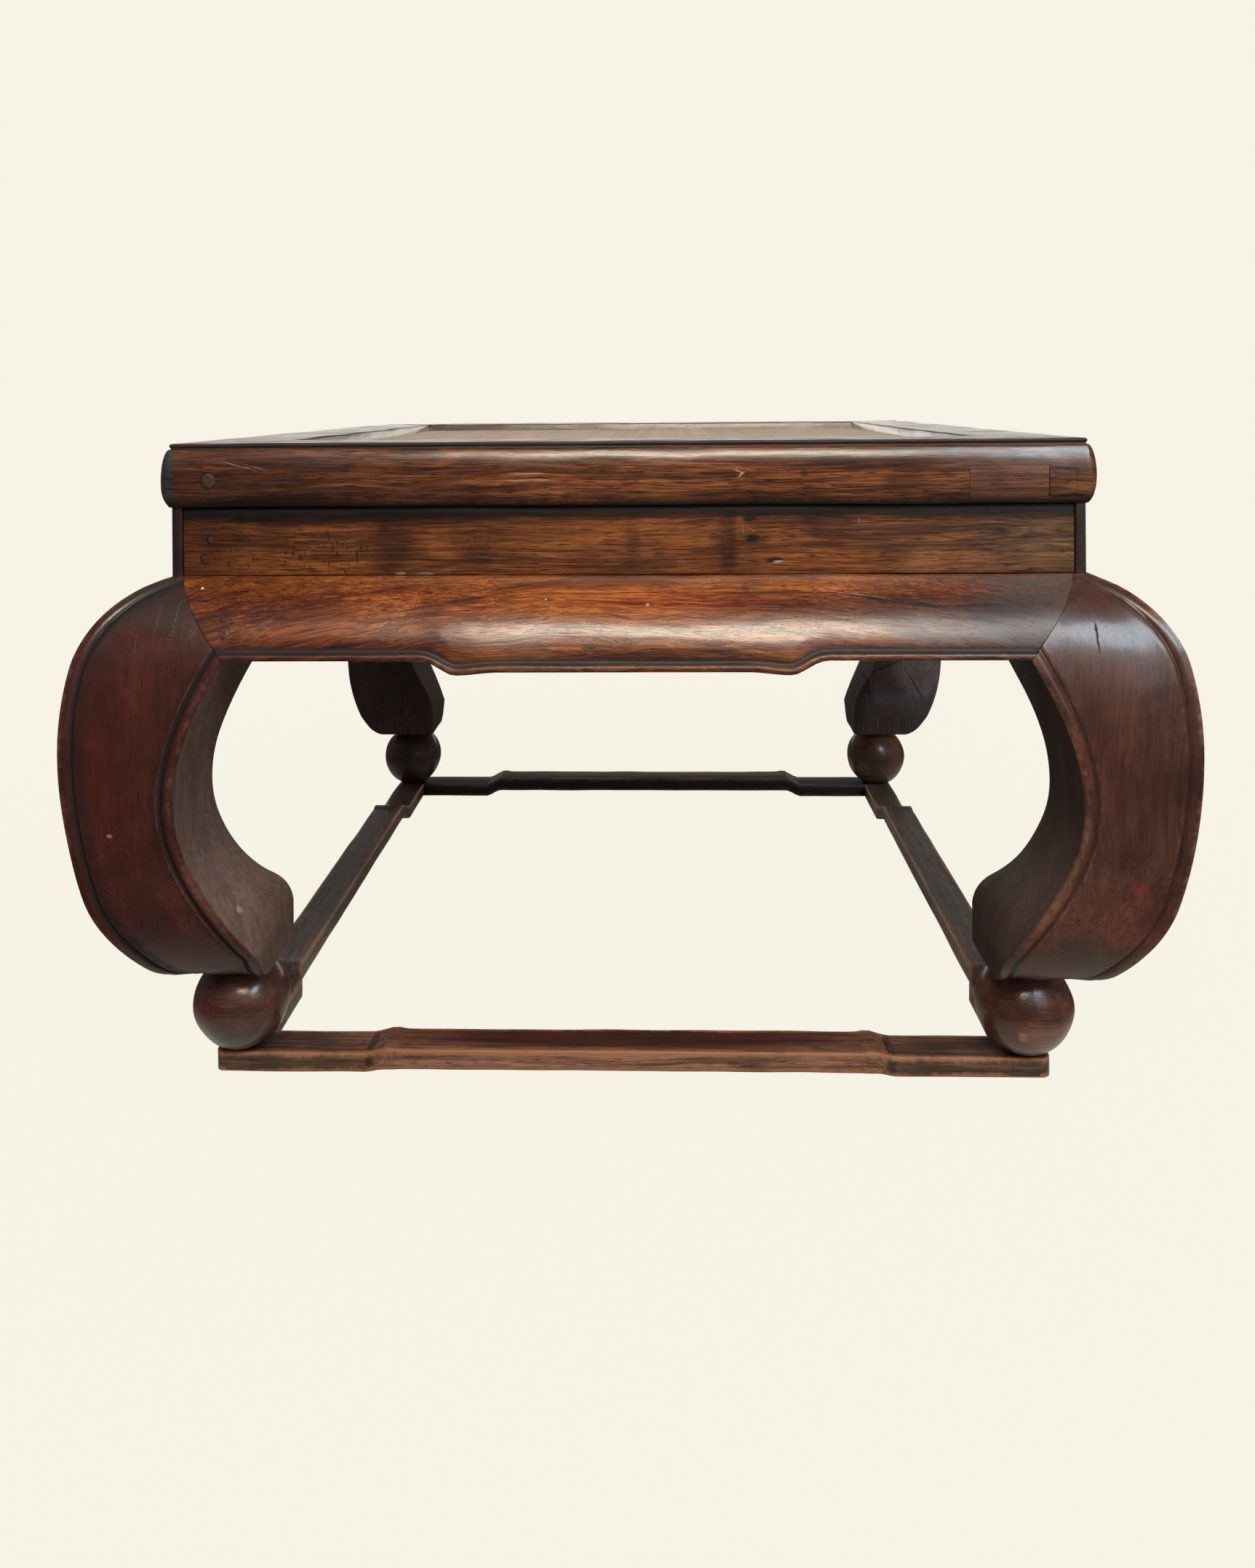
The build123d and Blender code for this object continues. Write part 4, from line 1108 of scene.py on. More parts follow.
apron_tones = {
    "front": ((0.064, 0.0140, 0.0064), (0.218, 0.055, 0.0130), (0.425, 0.132, 0.025)),
    "back": ((0.070, 0.022, 0.013), (0.150, 0.047, 0.023), (0.230, 0.085, 0.037)),
    "left": ((0.060, 0.020, 0.012), (0.130, 0.042, 0.022), (0.210, 0.078, 0.036)),
    "right": ((0.060, 0.020, 0.012), (0.130, 0.042, 0.022), (0.210, 0.078, 0.036)),
}
apron_peg_radius = 0.0032
apron_peg_reach = 0.015
apron_peg_spots = [(0.0463, -0.021), (0.0484, -0.031)]
dull_from = 0.130
dull_run = 0.120
dull_most = 0.62
dark_line = (0.030, 0.010, 0.008)
brown_line = (0.030, 0.013, 0.010)
chip = (0.40, 0.35, 0.35)
apron_marks = [
    stain_and_painted_light(-0.245, 0.316, 0.085, 0.032, (0.55, 0.42, 0.50), 0.80, 0.020),
    stain_and_painted_light(-0.170, 0.307, 0.110, 0.011, (0.52, 0.28, 0.28), 0.80, 0.016),
    stain_and_painted_light(-0.060, 0.338, 0.130, 0.012, (1.25, 1.15, 0.95), 0.70, 0.016),
    stain_and_painted_light(0.0500, 0.3340, 0.080, 0.006, (0.95, 0.62, 0.60), 0.70, 0.016),
    stain_and_painted_light(0.2180, 0.3425, 0.030, 0.0040, (1.50, 1.15, 0.85), 0.70, 0.010),
    stain_and_painted_light(0.1250, 0.3420, 0.040, 0.0030, (1.30, 1.05, 0.85), 0.60, 0.010),
    # A dark purple-blue band just under the window's highlight: painted reflection.
    stain_and_painted_light(0.0200, 0.3035, 0.140, 0.0070, (0.34, 0.34, 0.58), 0.90, 0.014),
    # Grey-brown covers over the right end: painted sheen.
    stain_and_painted_light(0.2250, 0.3140, 0.060, 0.0085, (0.095, 0.072, 0.064), 0.55, 0.014, 0.0, 1.0),
    stain_and_painted_light(0.2780, 0.3250, 0.060, 0.0320, (0.078, 0.050, 0.042), 0.88, 0.016, 0.0, 1.0),
    stain_and_painted_light(0.1800, 0.3300, 0.110, 0.0110, (0.42, 0.40, 0.56), 0.85, 0.014),
    stain_and_painted_light(-0.2650, 0.3390, 0.0260, 0.0010, dark_line, 0.55, 0.004, 0.22, 1.0),
    stain_and_painted_light(-0.2500, 0.3310, 0.0300, 0.0009, dark_line, 0.50, 0.004, 0.20, 1.0),
    stain_and_painted_light(-0.1750, 0.3400, 0.0450, 0.0008, dark_line, 0.55, 0.004, 0.12, 1.0),
    stain_and_painted_light(-0.0700, 0.3440, 0.0500, 0.0008, dark_line, 0.50, 0.004, 0.10, 1.0),
    stain_and_painted_light(-0.1180, 0.3345, 0.0500, 0.0009, brown_line, 0.70, 0.003, 0.15, 1.0),
    stain_and_painted_light(-0.1450, 0.3265, 0.0350, 0.0009, brown_line, 0.60, 0.003, 0.14, 1.0),
    stain_and_painted_light(-0.2150, 0.3325, 0.0350, 0.0010, brown_line, 0.60, 0.003, 0.17, 1.0),
    stain_and_painted_light(0.1000, 0.3400, 0.0500, 0.0008, crack, 0.75, 0.002, 0.0, 1.0),
    stain_and_painted_light(0.1600, 0.3375, 0.0250, 0.0013, crack, 0.90, 0.003, -0.14, 1.0),
    stain_and_painted_light(0.1950, 0.3330, 0.0200, 0.0013, crack, 0.90, 0.003, -0.08, 1.0),
    stain_and_painted_light(0.2280, 0.3328, 0.0200, 0.0008, crack, 0.80, 0.003, 0.02, 1.0),
    stain_and_painted_light(0.1480, 0.3395, 0.0250, 0.0004, (0.34, 0.20, 0.13), 0.55, 0.002, -0.10, 1.0),
    stain_and_painted_light(0.0806, 0.3425, 0.0030, 0.0040, chip, 0.7, 0.004),
    stain_and_painted_light(0.1060, 0.3430, 0.0025, 0.0030, chip, 0.6, 0.004),
    stain_and_painted_light(-0.2829, 0.3433, 0.0011, 0.0007, (0.70, 0.66, 0.60), 0.9, 0.001, 0.0, 1.0),
    stain_and_painted_light(-0.0510, 0.3369, 0.0008, 0.0007, (0.60, 0.55, 0.50), 0.8, 0.001, 0.0, 1.0),
    stain_and_painted_light(0.0159, 0.3336, 0.0013, 0.0009, (0.50, 0.40, 0.34), 0.8, 0.001, 0.0, 1.0),
    stain_and_painted_light(-0.2320, 0.3240, 0.0060, 0.0022, (0.22, 0.14, 0.11), 0.35, 0.008, 0.25, 1.0),
    stain_and_painted_light(-0.2410, 0.3205, 0.0035, 0.0014, (0.22, 0.14, 0.11), 0.30, 0.006, 0.25, 1.0),
]
for number, side, length, grain in four_sides(top_width, top_depth):
    bm = apron(length, 51 + number)
    set_on_side(bm, side, top_width / 2, top_depth / 2)
    if side == "front":
        for inset, rise in apron_peg_spots:
            hole = round_hole(inset - top_width / 2, apron_peg_reach - top_depth / 2, leg_top + rise,
                              apron_peg_radius + seam * 0.2, 0.08)
            bm = cut_with(bm, hole, "DIFFERENCE")
        matt = bm.verts.layers.float["matt"]
        for vert in bm.verts:
            vert[matt] = dull_most * max(0.0, min(1.0, (vert.co.x - dull_from) / dull_run))
    marks, arch = (apron_marks, 0.5) if side == "front" else ((), 0.0)
    finish = old_wood("lacquer_apron_" + side, grain, 61 + number, *apron_tones[side],
                      (0.34, 0.17, 0.095), marks, waver=0.020, arch=arch, dust=(0.085, 0.040, 0.032))
    set_down("apron_" + side + "_beaded", bm, [finish], "hardwood", "apron_" + side)


# ==== Waist ===================================================================
# Four thin upright boards stand between the posts, set back from the aprons.
# Their ends are planed thin and lap over the posts, so that only a narrow
# strip of each post shows at the corner.

waist_thickness = 0.010
waist_gap = 0.0003


def waist_board(length, seed):
    """One board along X, thick between the posts and thin where it laps over them."""
    lap_end = length / 2 + post_proud - strip_width - waist_gap
    body_end = length / 2 - post_in
    lap_back = lap_face + lap_thickness - waist_gap
    body_back = lap_face + waist_thickness
    low, high = (lap_face, leg_top + waist_gap), (lap_back, waist_top - waist_gap)
    thin, worn = soft_block_section(low, high, 0.0007, 0.0042)
    middle = (lap_face + lap_back) / 2
    inner = spaced(-body_end, body_end, 0.0056)
    outer = spaced(body_end + 0.0004, lap_end - 0.0012, 0.0060) + [lap_end - 0.0005, lap_end]
    rings = []
    for x in [-place for place in reversed(outer)] + inner + outer:
        body = abs(x) <= body_end
        pinch = 0.0005 if abs(x) > lap_end - 0.0002 else 0.0
        ring = []
        for point in thin:
            depth = point.real + (body_back - lap_back if body and point.real > middle else 0.0)
            depth += pinch if point.real < middle else 0.0
            ring.append(Vector((x, depth, point.imag)))
        rings.append(ring)
    # Darker along the top, under the moulding: painted shade with dirt; darker along the foot, at the
    # joint.
    top_shade_and_grime, top_reach = 0.95, 0.011
    foot_grime, foot_reach = 0.6, 0.003
    soil_and_shade = [max(top_shade_and_grime * (point.imag - waist_top + top_reach) / top_reach,
                foot_grime * (leg_top + foot_reach - point.imag) / foot_reach, 0.0) for point in thin]
    bm = loft(rings, True, [value * 0.5 for value in worn], soil_and_shade)
    hand_worked(bm, seed, 0.0004, (0.070, 0.030, 0.024))
    return bm


waist_tones = {
    "front": ((0.050, 0.013, 0.004), (0.145, 0.038, 0.0085), (0.275, 0.084, 0.0165)),
    "back": ((0.050, 0.018, 0.010), (0.110, 0.038, 0.018), (0.170, 0.066, 0.028)),
    "left": ((0.046, 0.018, 0.010), (0.100, 0.036, 0.018), (0.160, 0.064, 0.028)),
    "right": ((0.046, 0.018, 0.010), (0.100, 0.036, 0.018), (0.160, 0.064, 0.028)),
}
waist_peg_radius = 0.0028
waist_peg_spots = [(0.0249, 0.0248), (0.0203, 0.0118)]
waist_peg_depth = 0.020
face_y = lap_face - top_depth / 2
insect_cuts = (700.0, 10.0, 170.0)
pale_nick = (0.36, 0.32, 0.28)
waist_marks = [
    stain_and_painted_light(-0.300, 0.372, 0.045, 0.040, (0.45, 0.36, 0.42), 0.85),
    stain_and_painted_light(-0.215, 0.366, 0.055, 0.018, (1.22, 1.25, 1.05), 0.75),
    stain_and_painted_light(-0.1565, 0.370, 0.0170, 0.040, (0.52, 0.48, 0.55), 0.80, 0.006),
    stain_and_painted_light(-0.1250, 0.372, 0.0120, 0.016, (1.35, 1.40, 1.30), 0.60, 0.006),
    stain_and_painted_light(-0.0980, 0.364, 0.0110, 0.014, (0.58, 0.56, 0.65), 0.70, 0.006),
    stain_and_painted_light(-0.0300, 0.366, 0.0400, 0.014, (1.18, 1.22, 1.10), 0.60),
    stain_and_painted_light(0.0060, 0.372, 0.0060, 0.030, (0.66, 0.62, 0.66), 0.65, 0.006),
    stain_and_painted_light(0.0430, 0.364, 0.0200, 0.014, (1.25, 1.28, 1.15), 0.60),
    stain_and_painted_light(0.0700, 0.372, 0.0075, 0.050, (0.42, 0.38, 0.45), 0.85, 0.004),
    stain_and_painted_light(0.1080, 0.370, 0.0140, 0.020, (1.40, 1.32, 1.05), 0.75, 0.006),
    stain_and_painted_light(0.1380, 0.381, 0.0180, 0.014, (0.50, 0.48, 0.56), 0.80, 0.006),
    stain_and_painted_light(0.2150, 0.372, 0.0500, 0.040, (0.92, 1.18, 1.95), 0.80),
    stain_and_painted_light(0.2900, 0.372, 0.0600, 0.040, (0.66, 1.15, 2.30), 0.85),
    # A dark band along the whole top, under the moulding: painted shade with dirt, darker and wider to the
    # left.
    stain_and_painted_light(0.0000, 0.3935, 3.0000, 0.0085, (0.10, 0.09, 0.14), 0.92, 0.014),
    stain_and_painted_light(-0.2000, 0.3900, 0.1600, 0.0085, (0.20, 0.17, 0.22), 0.75, 0.014),
    nicks(-0.2050, 0.364, 0.0380, 0.018, insect_cuts, (0.018, 0.008, 0.005), 0.90),
    nicks(-0.2700, 0.360, 0.0200, 0.010, insect_cuts, (0.018, 0.008, 0.005), 0.70),
    nicks(-0.0980, 0.366, 0.0140, 0.016, insect_cuts, (0.026, 0.012, 0.007), 0.55),
    stain_and_painted_light(0.0858, 0.3880, 0.0060, 0.0045, crack, 0.95, 0.006, 0.2, 1.0),
    stain_and_painted_light(0.0867, 0.3732, 0.0060, 0.0036, crack, 0.95, 0.006, 0.2, 1.0),
    stain_and_painted_light(0.0860, 0.3795, 0.0050, 0.0005, (0.26, 0.15, 0.09), 0.6, 0.003, -0.5, 1.0),
    stain_and_painted_light(0.0805, 0.3790, 0.0004, 0.0050, (0.24, 0.15, 0.10), 0.45, 0.003, 0.0, 1.0),
    stain_and_painted_light(0.1008, 0.3590, 0.0065, 0.0026, crack, 0.95, 0.005, 0.1, 1.0),
    stain_and_painted_light(0.1035, 0.3575, 0.0040, 0.0011, (0.36, 0.30, 0.25), 0.8, 0.001, 0.1, 1.0),
    stain_and_painted_light(0.1587, 0.3853, 0.0006, 0.0030, (0.22, 0.16, 0.13), 0.45, 0.003, 0.0, 1.0),
    stain_and_painted_light(-0.1530, 0.3505, 0.0042, 0.0010, pale_nick, 0.6, 0.003, 0.0, 1.0),
    stain_and_painted_light(-0.1356, 0.3503, 0.0075, 0.0009, pale_nick, 0.5, 0.003, 0.0, 1.0),
    stain_and_painted_light(0.2649, 0.3506, 0.0110, 0.0006, crack, 0.9, 0.001, 0.0, 1.0),
]
for number, side, length, grain in four_sides(top_width, top_depth):
    bm = waist_board(length, 71 + number)
    set_on_side(bm, side, top_width / 2, top_depth / 2)
    if side == "front":
        for inset, rise in waist_peg_spots:
            hole = round_hole(inset - top_width / 2, face_y + 0.03, leg_top + rise,
                              waist_peg_radius + seam, 0.05)
            bm = cut_with(bm, hole, "DIFFERENCE")
    finish = old_wood("lacquer_waist_" + side, grain, 81 + number, *waist_tones[side],
                      (0.24, 0.11, 0.055), waist_marks if side == "front" else (), waver=0.008,
                      shine=0.28, wax_rough=0.42)
    set_down("waist_" + side + "_board", bm, [finish], "hardwood", "waist_" + side)


# ==== Top frame ===============================================================
# Four rails, mitred at the corners, with a thin upright lip and a fat thumb
# moulding below it.  The side rails' tenons run right through the front and
# back rails, and a slip of other wood mends the front rail.

top_level = waist_top + 0.044
rail_width = 0.062
lip_out = 0.0028
moulding_out = 0.0085
moulding_peak = 0.0205
moulding_rise = [(0.0081, 0.0280), (0.0049, 0.0382), (0.0031, 0.0399)]
moulding_fall = [(0.0082, 0.0130), (0.0066, 0.0060), (0.0030, 0.0006)]
rail_corner_radius = -0.0015
# Steps of the lip: how far in, how far down, how rubbed and how dark; the upright face of the lip is dark
# with dirty lacquer and painted shade.
lip_steps = [(0.0018, 0.0000, 0.1, 0.10), (0.0006, 0.0004, 0.2, 0.70), (0.0001, 0.0014, 0.0, 0.95),
             (0.0002, 0.0023, 0.0, 1.00), (0.0010, 0.0033, 0.0, 1.00), (0.0006, 0.0041, 0.0, 0.90)]
rail_tenon_inset = 0.0067
rail_tenon_width = 0.0176
rail_tenon_low = waist_top + 0.006
rail_tenon_thickness = 0.018
slip_inset = 0.025
slip_length = 0.052
slip_low = waist_top + 0.0036
slip_height = 0.0225
slip_depth = 0.006
rail_peg_radius = 0.0056
rail_peg_inset = 0.0263
rail_peg_level = waist_top + 0.0192


def rail_outline():
    """Section of a top rail, from its top inner edge over the lip and round the moulding."""
    peak = complex(-moulding_out, waist_top + moulding_peak)
    upper = [complex(-out, waist_top + up) for out, up in moulding_rise]
    lower = [complex(-out, waist_top + up) for out, up in moulding_fall]
    upper = tangent_arcs(peak, 1j, upper, 6)[::-1]
    lower = tangent_arcs(peak, -1j, lower, 6)
    inner = rail_width - 0.0016
    outline = [(complex(rail_width, waist_top + 0.020), 0, 0),
               (complex(rail_width, top_level - 0.0012), 0.2, 0.0),
               (complex(rail_width - 0.0005, top_level - 0.0004), 0.8, 0),
               (complex(inner, top_level), 0.5, 0)]
    count = 12
    for step in range(1, count):
        share = step / count
        inset = inner * (1 - share) + (0.0018 - lip_out) * share
        outline.append((complex(inset, top_level), 0, 0))
    for inset, down, rub, soil_and_shade in lip_steps:
        outline.append((complex(inset - lip_out, top_level - down), rub, soil_and_shade))
    for index, point in enumerate(upper):
        outline.append((point, 0.55 if index < 2 else 0.0, 0.3 if index == 0 else 0.0))
    # Darker towards the foot of the moulding, under its bulge, and along its lower edge: painted shade.
    for index, point in enumerate(lower[1:]):
        share = (index + 1) / (len(lower) - 1)
        outline.append((point, 0.0, 0.9 * max(0.0, (share - 0.60) / 0.40)))
    outline += [(complex(0.0, waist_top), 0, 1.0), (complex(0.020, waist_top), 0, 0.4),
                (complex(rail_width, waist_top), 0, 0.0)]
    return outline


def rounded_off(x, point, length):
    """Point of a rail's section, turned in where the frame's corner is rounded in plan."""
    radius = rail_corner_radius - point.real
    past = abs(x) - (length / 2 - rail_corner_radius)
    depth = point.real
    if radius > 0.0 and past > 0.0:
        past = min(past, radius * 0.95)
        depth = rail_corner_radius - math.sqrt(radius * radius - past * past)
    return Vector((x, depth, point.imag))


def top_rail(length, seed):
    """One rail along X, square at its ends, with its lip and moulding facing -Y."""
    points, rubbed, soiled_and_shaded = zip(*rail_outline())
    corner_run, past_end, fine, plain = 0.012, 0.0095, 0.0011, 0.0055
    near = spaced(length / 2 - corner_run, length / 2 + past_end, fine)
    places = [-x for x in near[::-1]] + spaced(-near[0], near[0], plain)[1:-1] + near
    rings = [[rounded_off(x, point, length) for point in points] for x in places]
    bm = loft(rings, True, rubbed, soiled_and_shaded)
    bmesh.ops.recalc_face_normals(bm, faces=bm.faces)
    hand_worked(bm, seed, 0.0006, (0.065, 0.030, 0.016))
    for end in (-1, 1):
        trim(bm, (end * (length / 2 - seam / 2), 0, 0), Vector((end, 1, 0)).normalized())
    return bm


def rail_tenon_box(end, spare):
    inner = top_width / 2 - rail_tenon_inset
    low, high = sorted((end * inner, end * (inner - rail_tenon_width)))
    return block((low - spare, -0.02, rail_tenon_low - spare),
                 (high + spare, 0.012, rail_tenon_low + rail_tenon_thickness + spare))


def slip_box(spare):
    right = top_width / 2 - slip_inset
    return block((right - slip_length - spare, -0.02, slip_low - spare),
                 (right + spare, slip_depth + spare, slip_low + slip_height + spare))


rail_tones = {
    "front": ((0.034, 0.0095, 0.0045), (0.135, 0.038, 0.0125), (0.270, 0.095, 0.031)),
    "back": ((0.045, 0.019, 0.013), (0.105, 0.043, 0.026), (0.170, 0.078, 0.046)),
    "left": ((0.040, 0.020, 0.015), (0.090, 0.044, 0.030), (0.150, 0.080, 0.054)),
    "right": ((0.040, 0.020, 0.015), (0.090, 0.044, 0.030), (0.150, 0.080, 0.054)),
}
grey_end_sheen_and_dirt = (0.050, 0.052, 0.046)
open_pore = (0.030, 0.014, 0.010)
long_pore = (0.035, 0.016, 0.011)
scrape = (0.34, 0.20, 0.14)
bright_scrape = (0.46, 0.27, 0.16)
orange_nick = (0.400, 0.250, 0.165)
rail_marks = [
    # Grey cover at the left end, where the moulding turns away: painted reflection with dirt.
    stain_and_painted_light(-0.3130, 0.418, 0.0090, 0.040, grey_end_sheen_and_dirt, 0.90, 0.002, 0.0, 1.0),
    stain_and_painted_light(-0.255, 0.416, 0.095, 0.030, (0.42, 0.42, 0.62), 0.85, 0.016),
    stain_and_painted_light(-0.140, 0.408, 0.080, 0.006, (0.55, 0.45, 0.50), 0.75, 0.014),
    stain_and_painted_light(0.070, 0.416, 0.190, 0.010, (1.22, 1.15, 1.00), 0.70, 0.014),
    stain_and_painted_light(0.190, 0.4225, 0.045, 0.005, (0.62, 0.62, 0.70), 0.80, 0.010),
    stain_and_painted_light(0.270, 0.4170, 0.060, 0.024, (0.66, 0.78, 1.05), 0.80, 0.010),
    # A dark band along the whole lower moulding, under the bulge: painted shade.
    stain_and_painted_light(0.000, 0.3995, 3.000, 0.0050, (0.46, 0.44, 0.52), 0.80, 0.012),
    stain_and_painted_light(-0.1901, 0.4213, 0.0060, 0.0026, (0.030, 0.016, 0.012), 0.85, 0.006, 0.1, 1.0),
    stain_and_painted_light(-0.2149, 0.4210, 0.0110, 0.0007, open_pore, 0.80, 0.003, 0.0, 1.0),
    stain_and_painted_light(-0.2249, 0.4176, 0.0140, 0.0006, long_pore, 0.70, 0.003, 0.0, 1.0),
    stain_and_painted_light(-0.1063, 0.4105, 0.0120, 0.0010, open_pore, 0.80, 0.003, 0.0, 1.0),
    stain_and_painted_light(-0.1850, 0.4060, 0.0500, 0.0010, (0.028, 0.014, 0.011), 0.70, 0.003, 0.0, 1.0),
    stain_and_painted_light(-0.2596, 0.4245, 0.0140, 0.0005, scrape, 0.55, 0.002, -0.28, 1.0),
    stain_and_painted_light(-0.2500, 0.4240, 0.0090, 0.0004, scrape, 0.45, 0.002, -0.28, 1.0),
    stain_and_painted_light(-0.0644, 0.4186, 0.0140, 0.0006, bright_scrape, 0.70, 0.003, 0.0, 1.0),
    stain_and_painted_light(-0.0645, 0.4142, 0.0180, 0.0005, bright_scrape, 0.70, 0.003, 0.0, 1.0),
    stain_and_painted_light(-0.0640, 0.4122, 0.0200, 0.0006, open_pore, 0.70, 0.003, 0.0, 1.0),
    stain_and_painted_light(0.0775, 0.4188, 0.0036, 0.0006, orange_nick, 0.75, 0.004, -0.55, 1.0),
    stain_and_painted_light(0.0790, 0.4172, 0.0024, 0.0008, orange_nick, 0.75, 0.004, 0.7, 1.0),
    stain_and_painted_light(0.0762, 0.4200, 0.0006, 0.0022, (0.340, 0.210, 0.140), 0.6, 0.003, 0.0, 1.0),
    stain_and_painted_light(0.1208, 0.4180, 0.0036, 0.0030, (0.030, 0.016, 0.012), 0.8, 0.006, 0.0, 1.0),
    stain_and_painted_light(0.1150, 0.4120, 0.0450, 0.0008, long_pore, 0.7, 0.005, 0.0, 1.0),
    stain_and_painted_light(0.1850, 0.4090, 0.0450, 0.0009, long_pore, 0.7, 0.005, 0.0, 1.0),
    stain_and_painted_light(0.2250, 0.4010, 0.0250, 0.0040, (0.35, 0.33, 0.42), 0.8, 0.008),
    stain_and_painted_light(0.0300, 0.4150, 0.0600, 0.0008, (0.040, 0.018, 0.012), 0.7, 0.005, 0.0, 1.0),
]


def rail_peg_hole():
    return round_hole(rail_peg_inset - top_width / 2, 0.008, rail_peg_level,
                      rail_peg_radius + seam * 0.5, 0.03)


rail_finishes = []
for number, side, length, grain in four_sides(top_width, top_depth):
    bm = top_rail(length, 91 + number)
    lengthways = grain == "x"
    if lengthways:
        for end in (-1, 1):
            tightness = seam if end > 0 else seam * 0.2
            bm = cut_with(bm, rail_tenon_box(end, tightness), "DIFFERENCE")
    if side == "front":
        bm = cut_with(bm, slip_box(seam), "DIFFERENCE")
        bm = cut_with(bm, rail_peg_hole(), "DIFFERENCE")
    set_on_side(bm, side, top_width / 2, top_depth / 2)
    if not lengthways:
        for neighbour in ("front", "back"):
            end = -1 if (side == "left") == (neighbour == "front") else 1
            tenon = cut_with(top_rail(top_width, 91 if neighbour == "front" else 92),
                             rail_tenon_box(end, 0.0), "INTERSECT")
            if (side, neighbour) == ("left", "front"):
                tenon = cut_with(tenon, rail_peg_hole(), "DIFFERENCE")
            set_on_side(tenon, neighbour, top_width / 2, top_depth / 2)
            bm = with_tenon(bm, tenon)
    finish = old_wood("lacquer_top_rail_" + side, grain, 101 + number, *rail_tones[side],
                      (0.30, 0.165, 0.100), rail_marks if side == "front" else (), waver=0.009,
                      rough=0.18, wax_rough=0.34)
    rail_finishes.append(finish)
    finishes = [finish] if lengthways else [finish, rail_finishes[0]]
    set_down("top_rail_" + side + "_moulded", bm, finishes, "hardwood", "top_rail_" + side)

slip = cut_with(top_rail(top_width, 91), slip_box(0.0), "INTERSECT")
set_on_side(slip, "front", top_width / 2, top_depth / 2)
slip_tones = ((0.060, 0.022, 0.013), (0.125, 0.046, 0.026), (0.210, 0.085, 0.049))
slip_finish = old_wood("lacquer_slip", "x", 111, *slip_tones, (0.30, 0.15, 0.09), waver=0.004, rough=0.18)
set_down("top_rail_slip_let_in", slip, [slip_finish], "hardwood_patch", "top_rail_slip")


# ==== Pegs ====================================================================
# Round brown pegs lock the joints at the left front corner: one in the top
# rail, two through the waist and two through the apron.  Each was driven home
# and planed off flush.

peg_tones = ((0.026, 0.012, 0.008), (0.058, 0.028, 0.018), (0.096, 0.052, 0.037))
apron_peg_tones = ((0.040, 0.011, 0.007), (0.085, 0.024, 0.012), (0.150, 0.052, 0.026))
peg_finish = old_wood("peg_end_grain", "y", 121, *peg_tones, (0.20, 0.13, 0.10), waver=0.002,
                      rough=0.42, wax=0.3)
apron_peg_finish = old_wood("apron_peg_end_grain", "y", 122, *apron_peg_tones, (0.30, 0.17, 0.12),
                            waver=0.002, rough=0.38, wax=0.4)


def peg(x, y, z, radius, depth, slope=0.0, grime_and_shade=0.6):
    """A peg whose end follows a surface that leans back by a slope."""
    bm = round_hole(x, y, z, radius, depth + 0.02)
    layers = (bm.verts.layers.float.new("rubbed"), bm.verts.layers.float.new("soiled_and_shaded"))
    outward = Vector((0, -1, slope)).normalized()
    trim(bm, Vector((x, y - depth, z)), outward)
    end = max(bm.faces, key=lambda face: face.normal.dot(outward))
    bmesh.ops.bevel(bm, geom=list(end.edges), offset=0.0004, segments=2, profile=0.5, affect="EDGES",
                    material=-1)
    end = max(bm.faces, key=lambda face: face.normal.dot(outward) * face.calc_area())
    bmesh.ops.inset_individual(bm, faces=[end], thickness=radius * 0.2)
    for vert in bm.verts:
        vert[layers[1]] = grime_and_shade
    for vert in end.verts:
        vert[layers[0]], vert[layers[1]] = 0.45, 0.1
    return bm


rail_face = -moulding_out - top_depth / 2
rail_peg = peg(rail_peg_inset - top_width / 2, rail_face + 0.016, rail_peg_level,
               rail_peg_radius, 0.0152)
set_down("top_rail_peg_end", rail_peg, [peg_finish], "peg_wood", "top_rail_peg")

peg_sink = 0.0003
waist_pegs = bmesh.new()
for inset, rise in waist_peg_spots:
    back = face_y + waist_peg_depth
    joined(waist_pegs, peg(inset - top_width / 2, back, leg_top + rise, waist_peg_radius,
                           waist_peg_depth - peg_sink))
set_down("waist_peg_ends", waist_pegs, [peg_finish], "peg_wood", "waist_pegs")

apron_pegs = bmesh.new()
for inset, rise in apron_peg_spots:
    level = leg_top + rise
    out = looked_up(level, outer_levels, outer_insets)
    slope = (looked_up(level + 0.001, outer_levels, outer_insets) - out) / 0.001
    reach = apron_peg_reach - out - 0.0004
    joined(apron_pegs, peg(inset - top_width / 2, apron_peg_reach - top_depth / 2, level,
                           apron_peg_radius, reach, slope, 0.3))
set_down("apron_peg_ends", apron_pegs, [apron_peg_finish], "peg_wood", "apron_pegs")


# ==== Panel ===================================================================
# A tongued board, stiffened by two battens, lies in the frame's groove.  On it
# lies a fine mat of split cane, woven in narrow strands and sunk a little below
# the rails.

mat_recess = 0.0065
mat_thickness = 0.0025
mat_edge_gap = 0.002
opening_width = top_width - 2 * rail_width
opening_depth = top_depth - 2 * rail_width
strand_pitch = 0.0026
strand_valley = 0.00035
mat_sag = 0.0004
mat_level = top_level - mat_recess


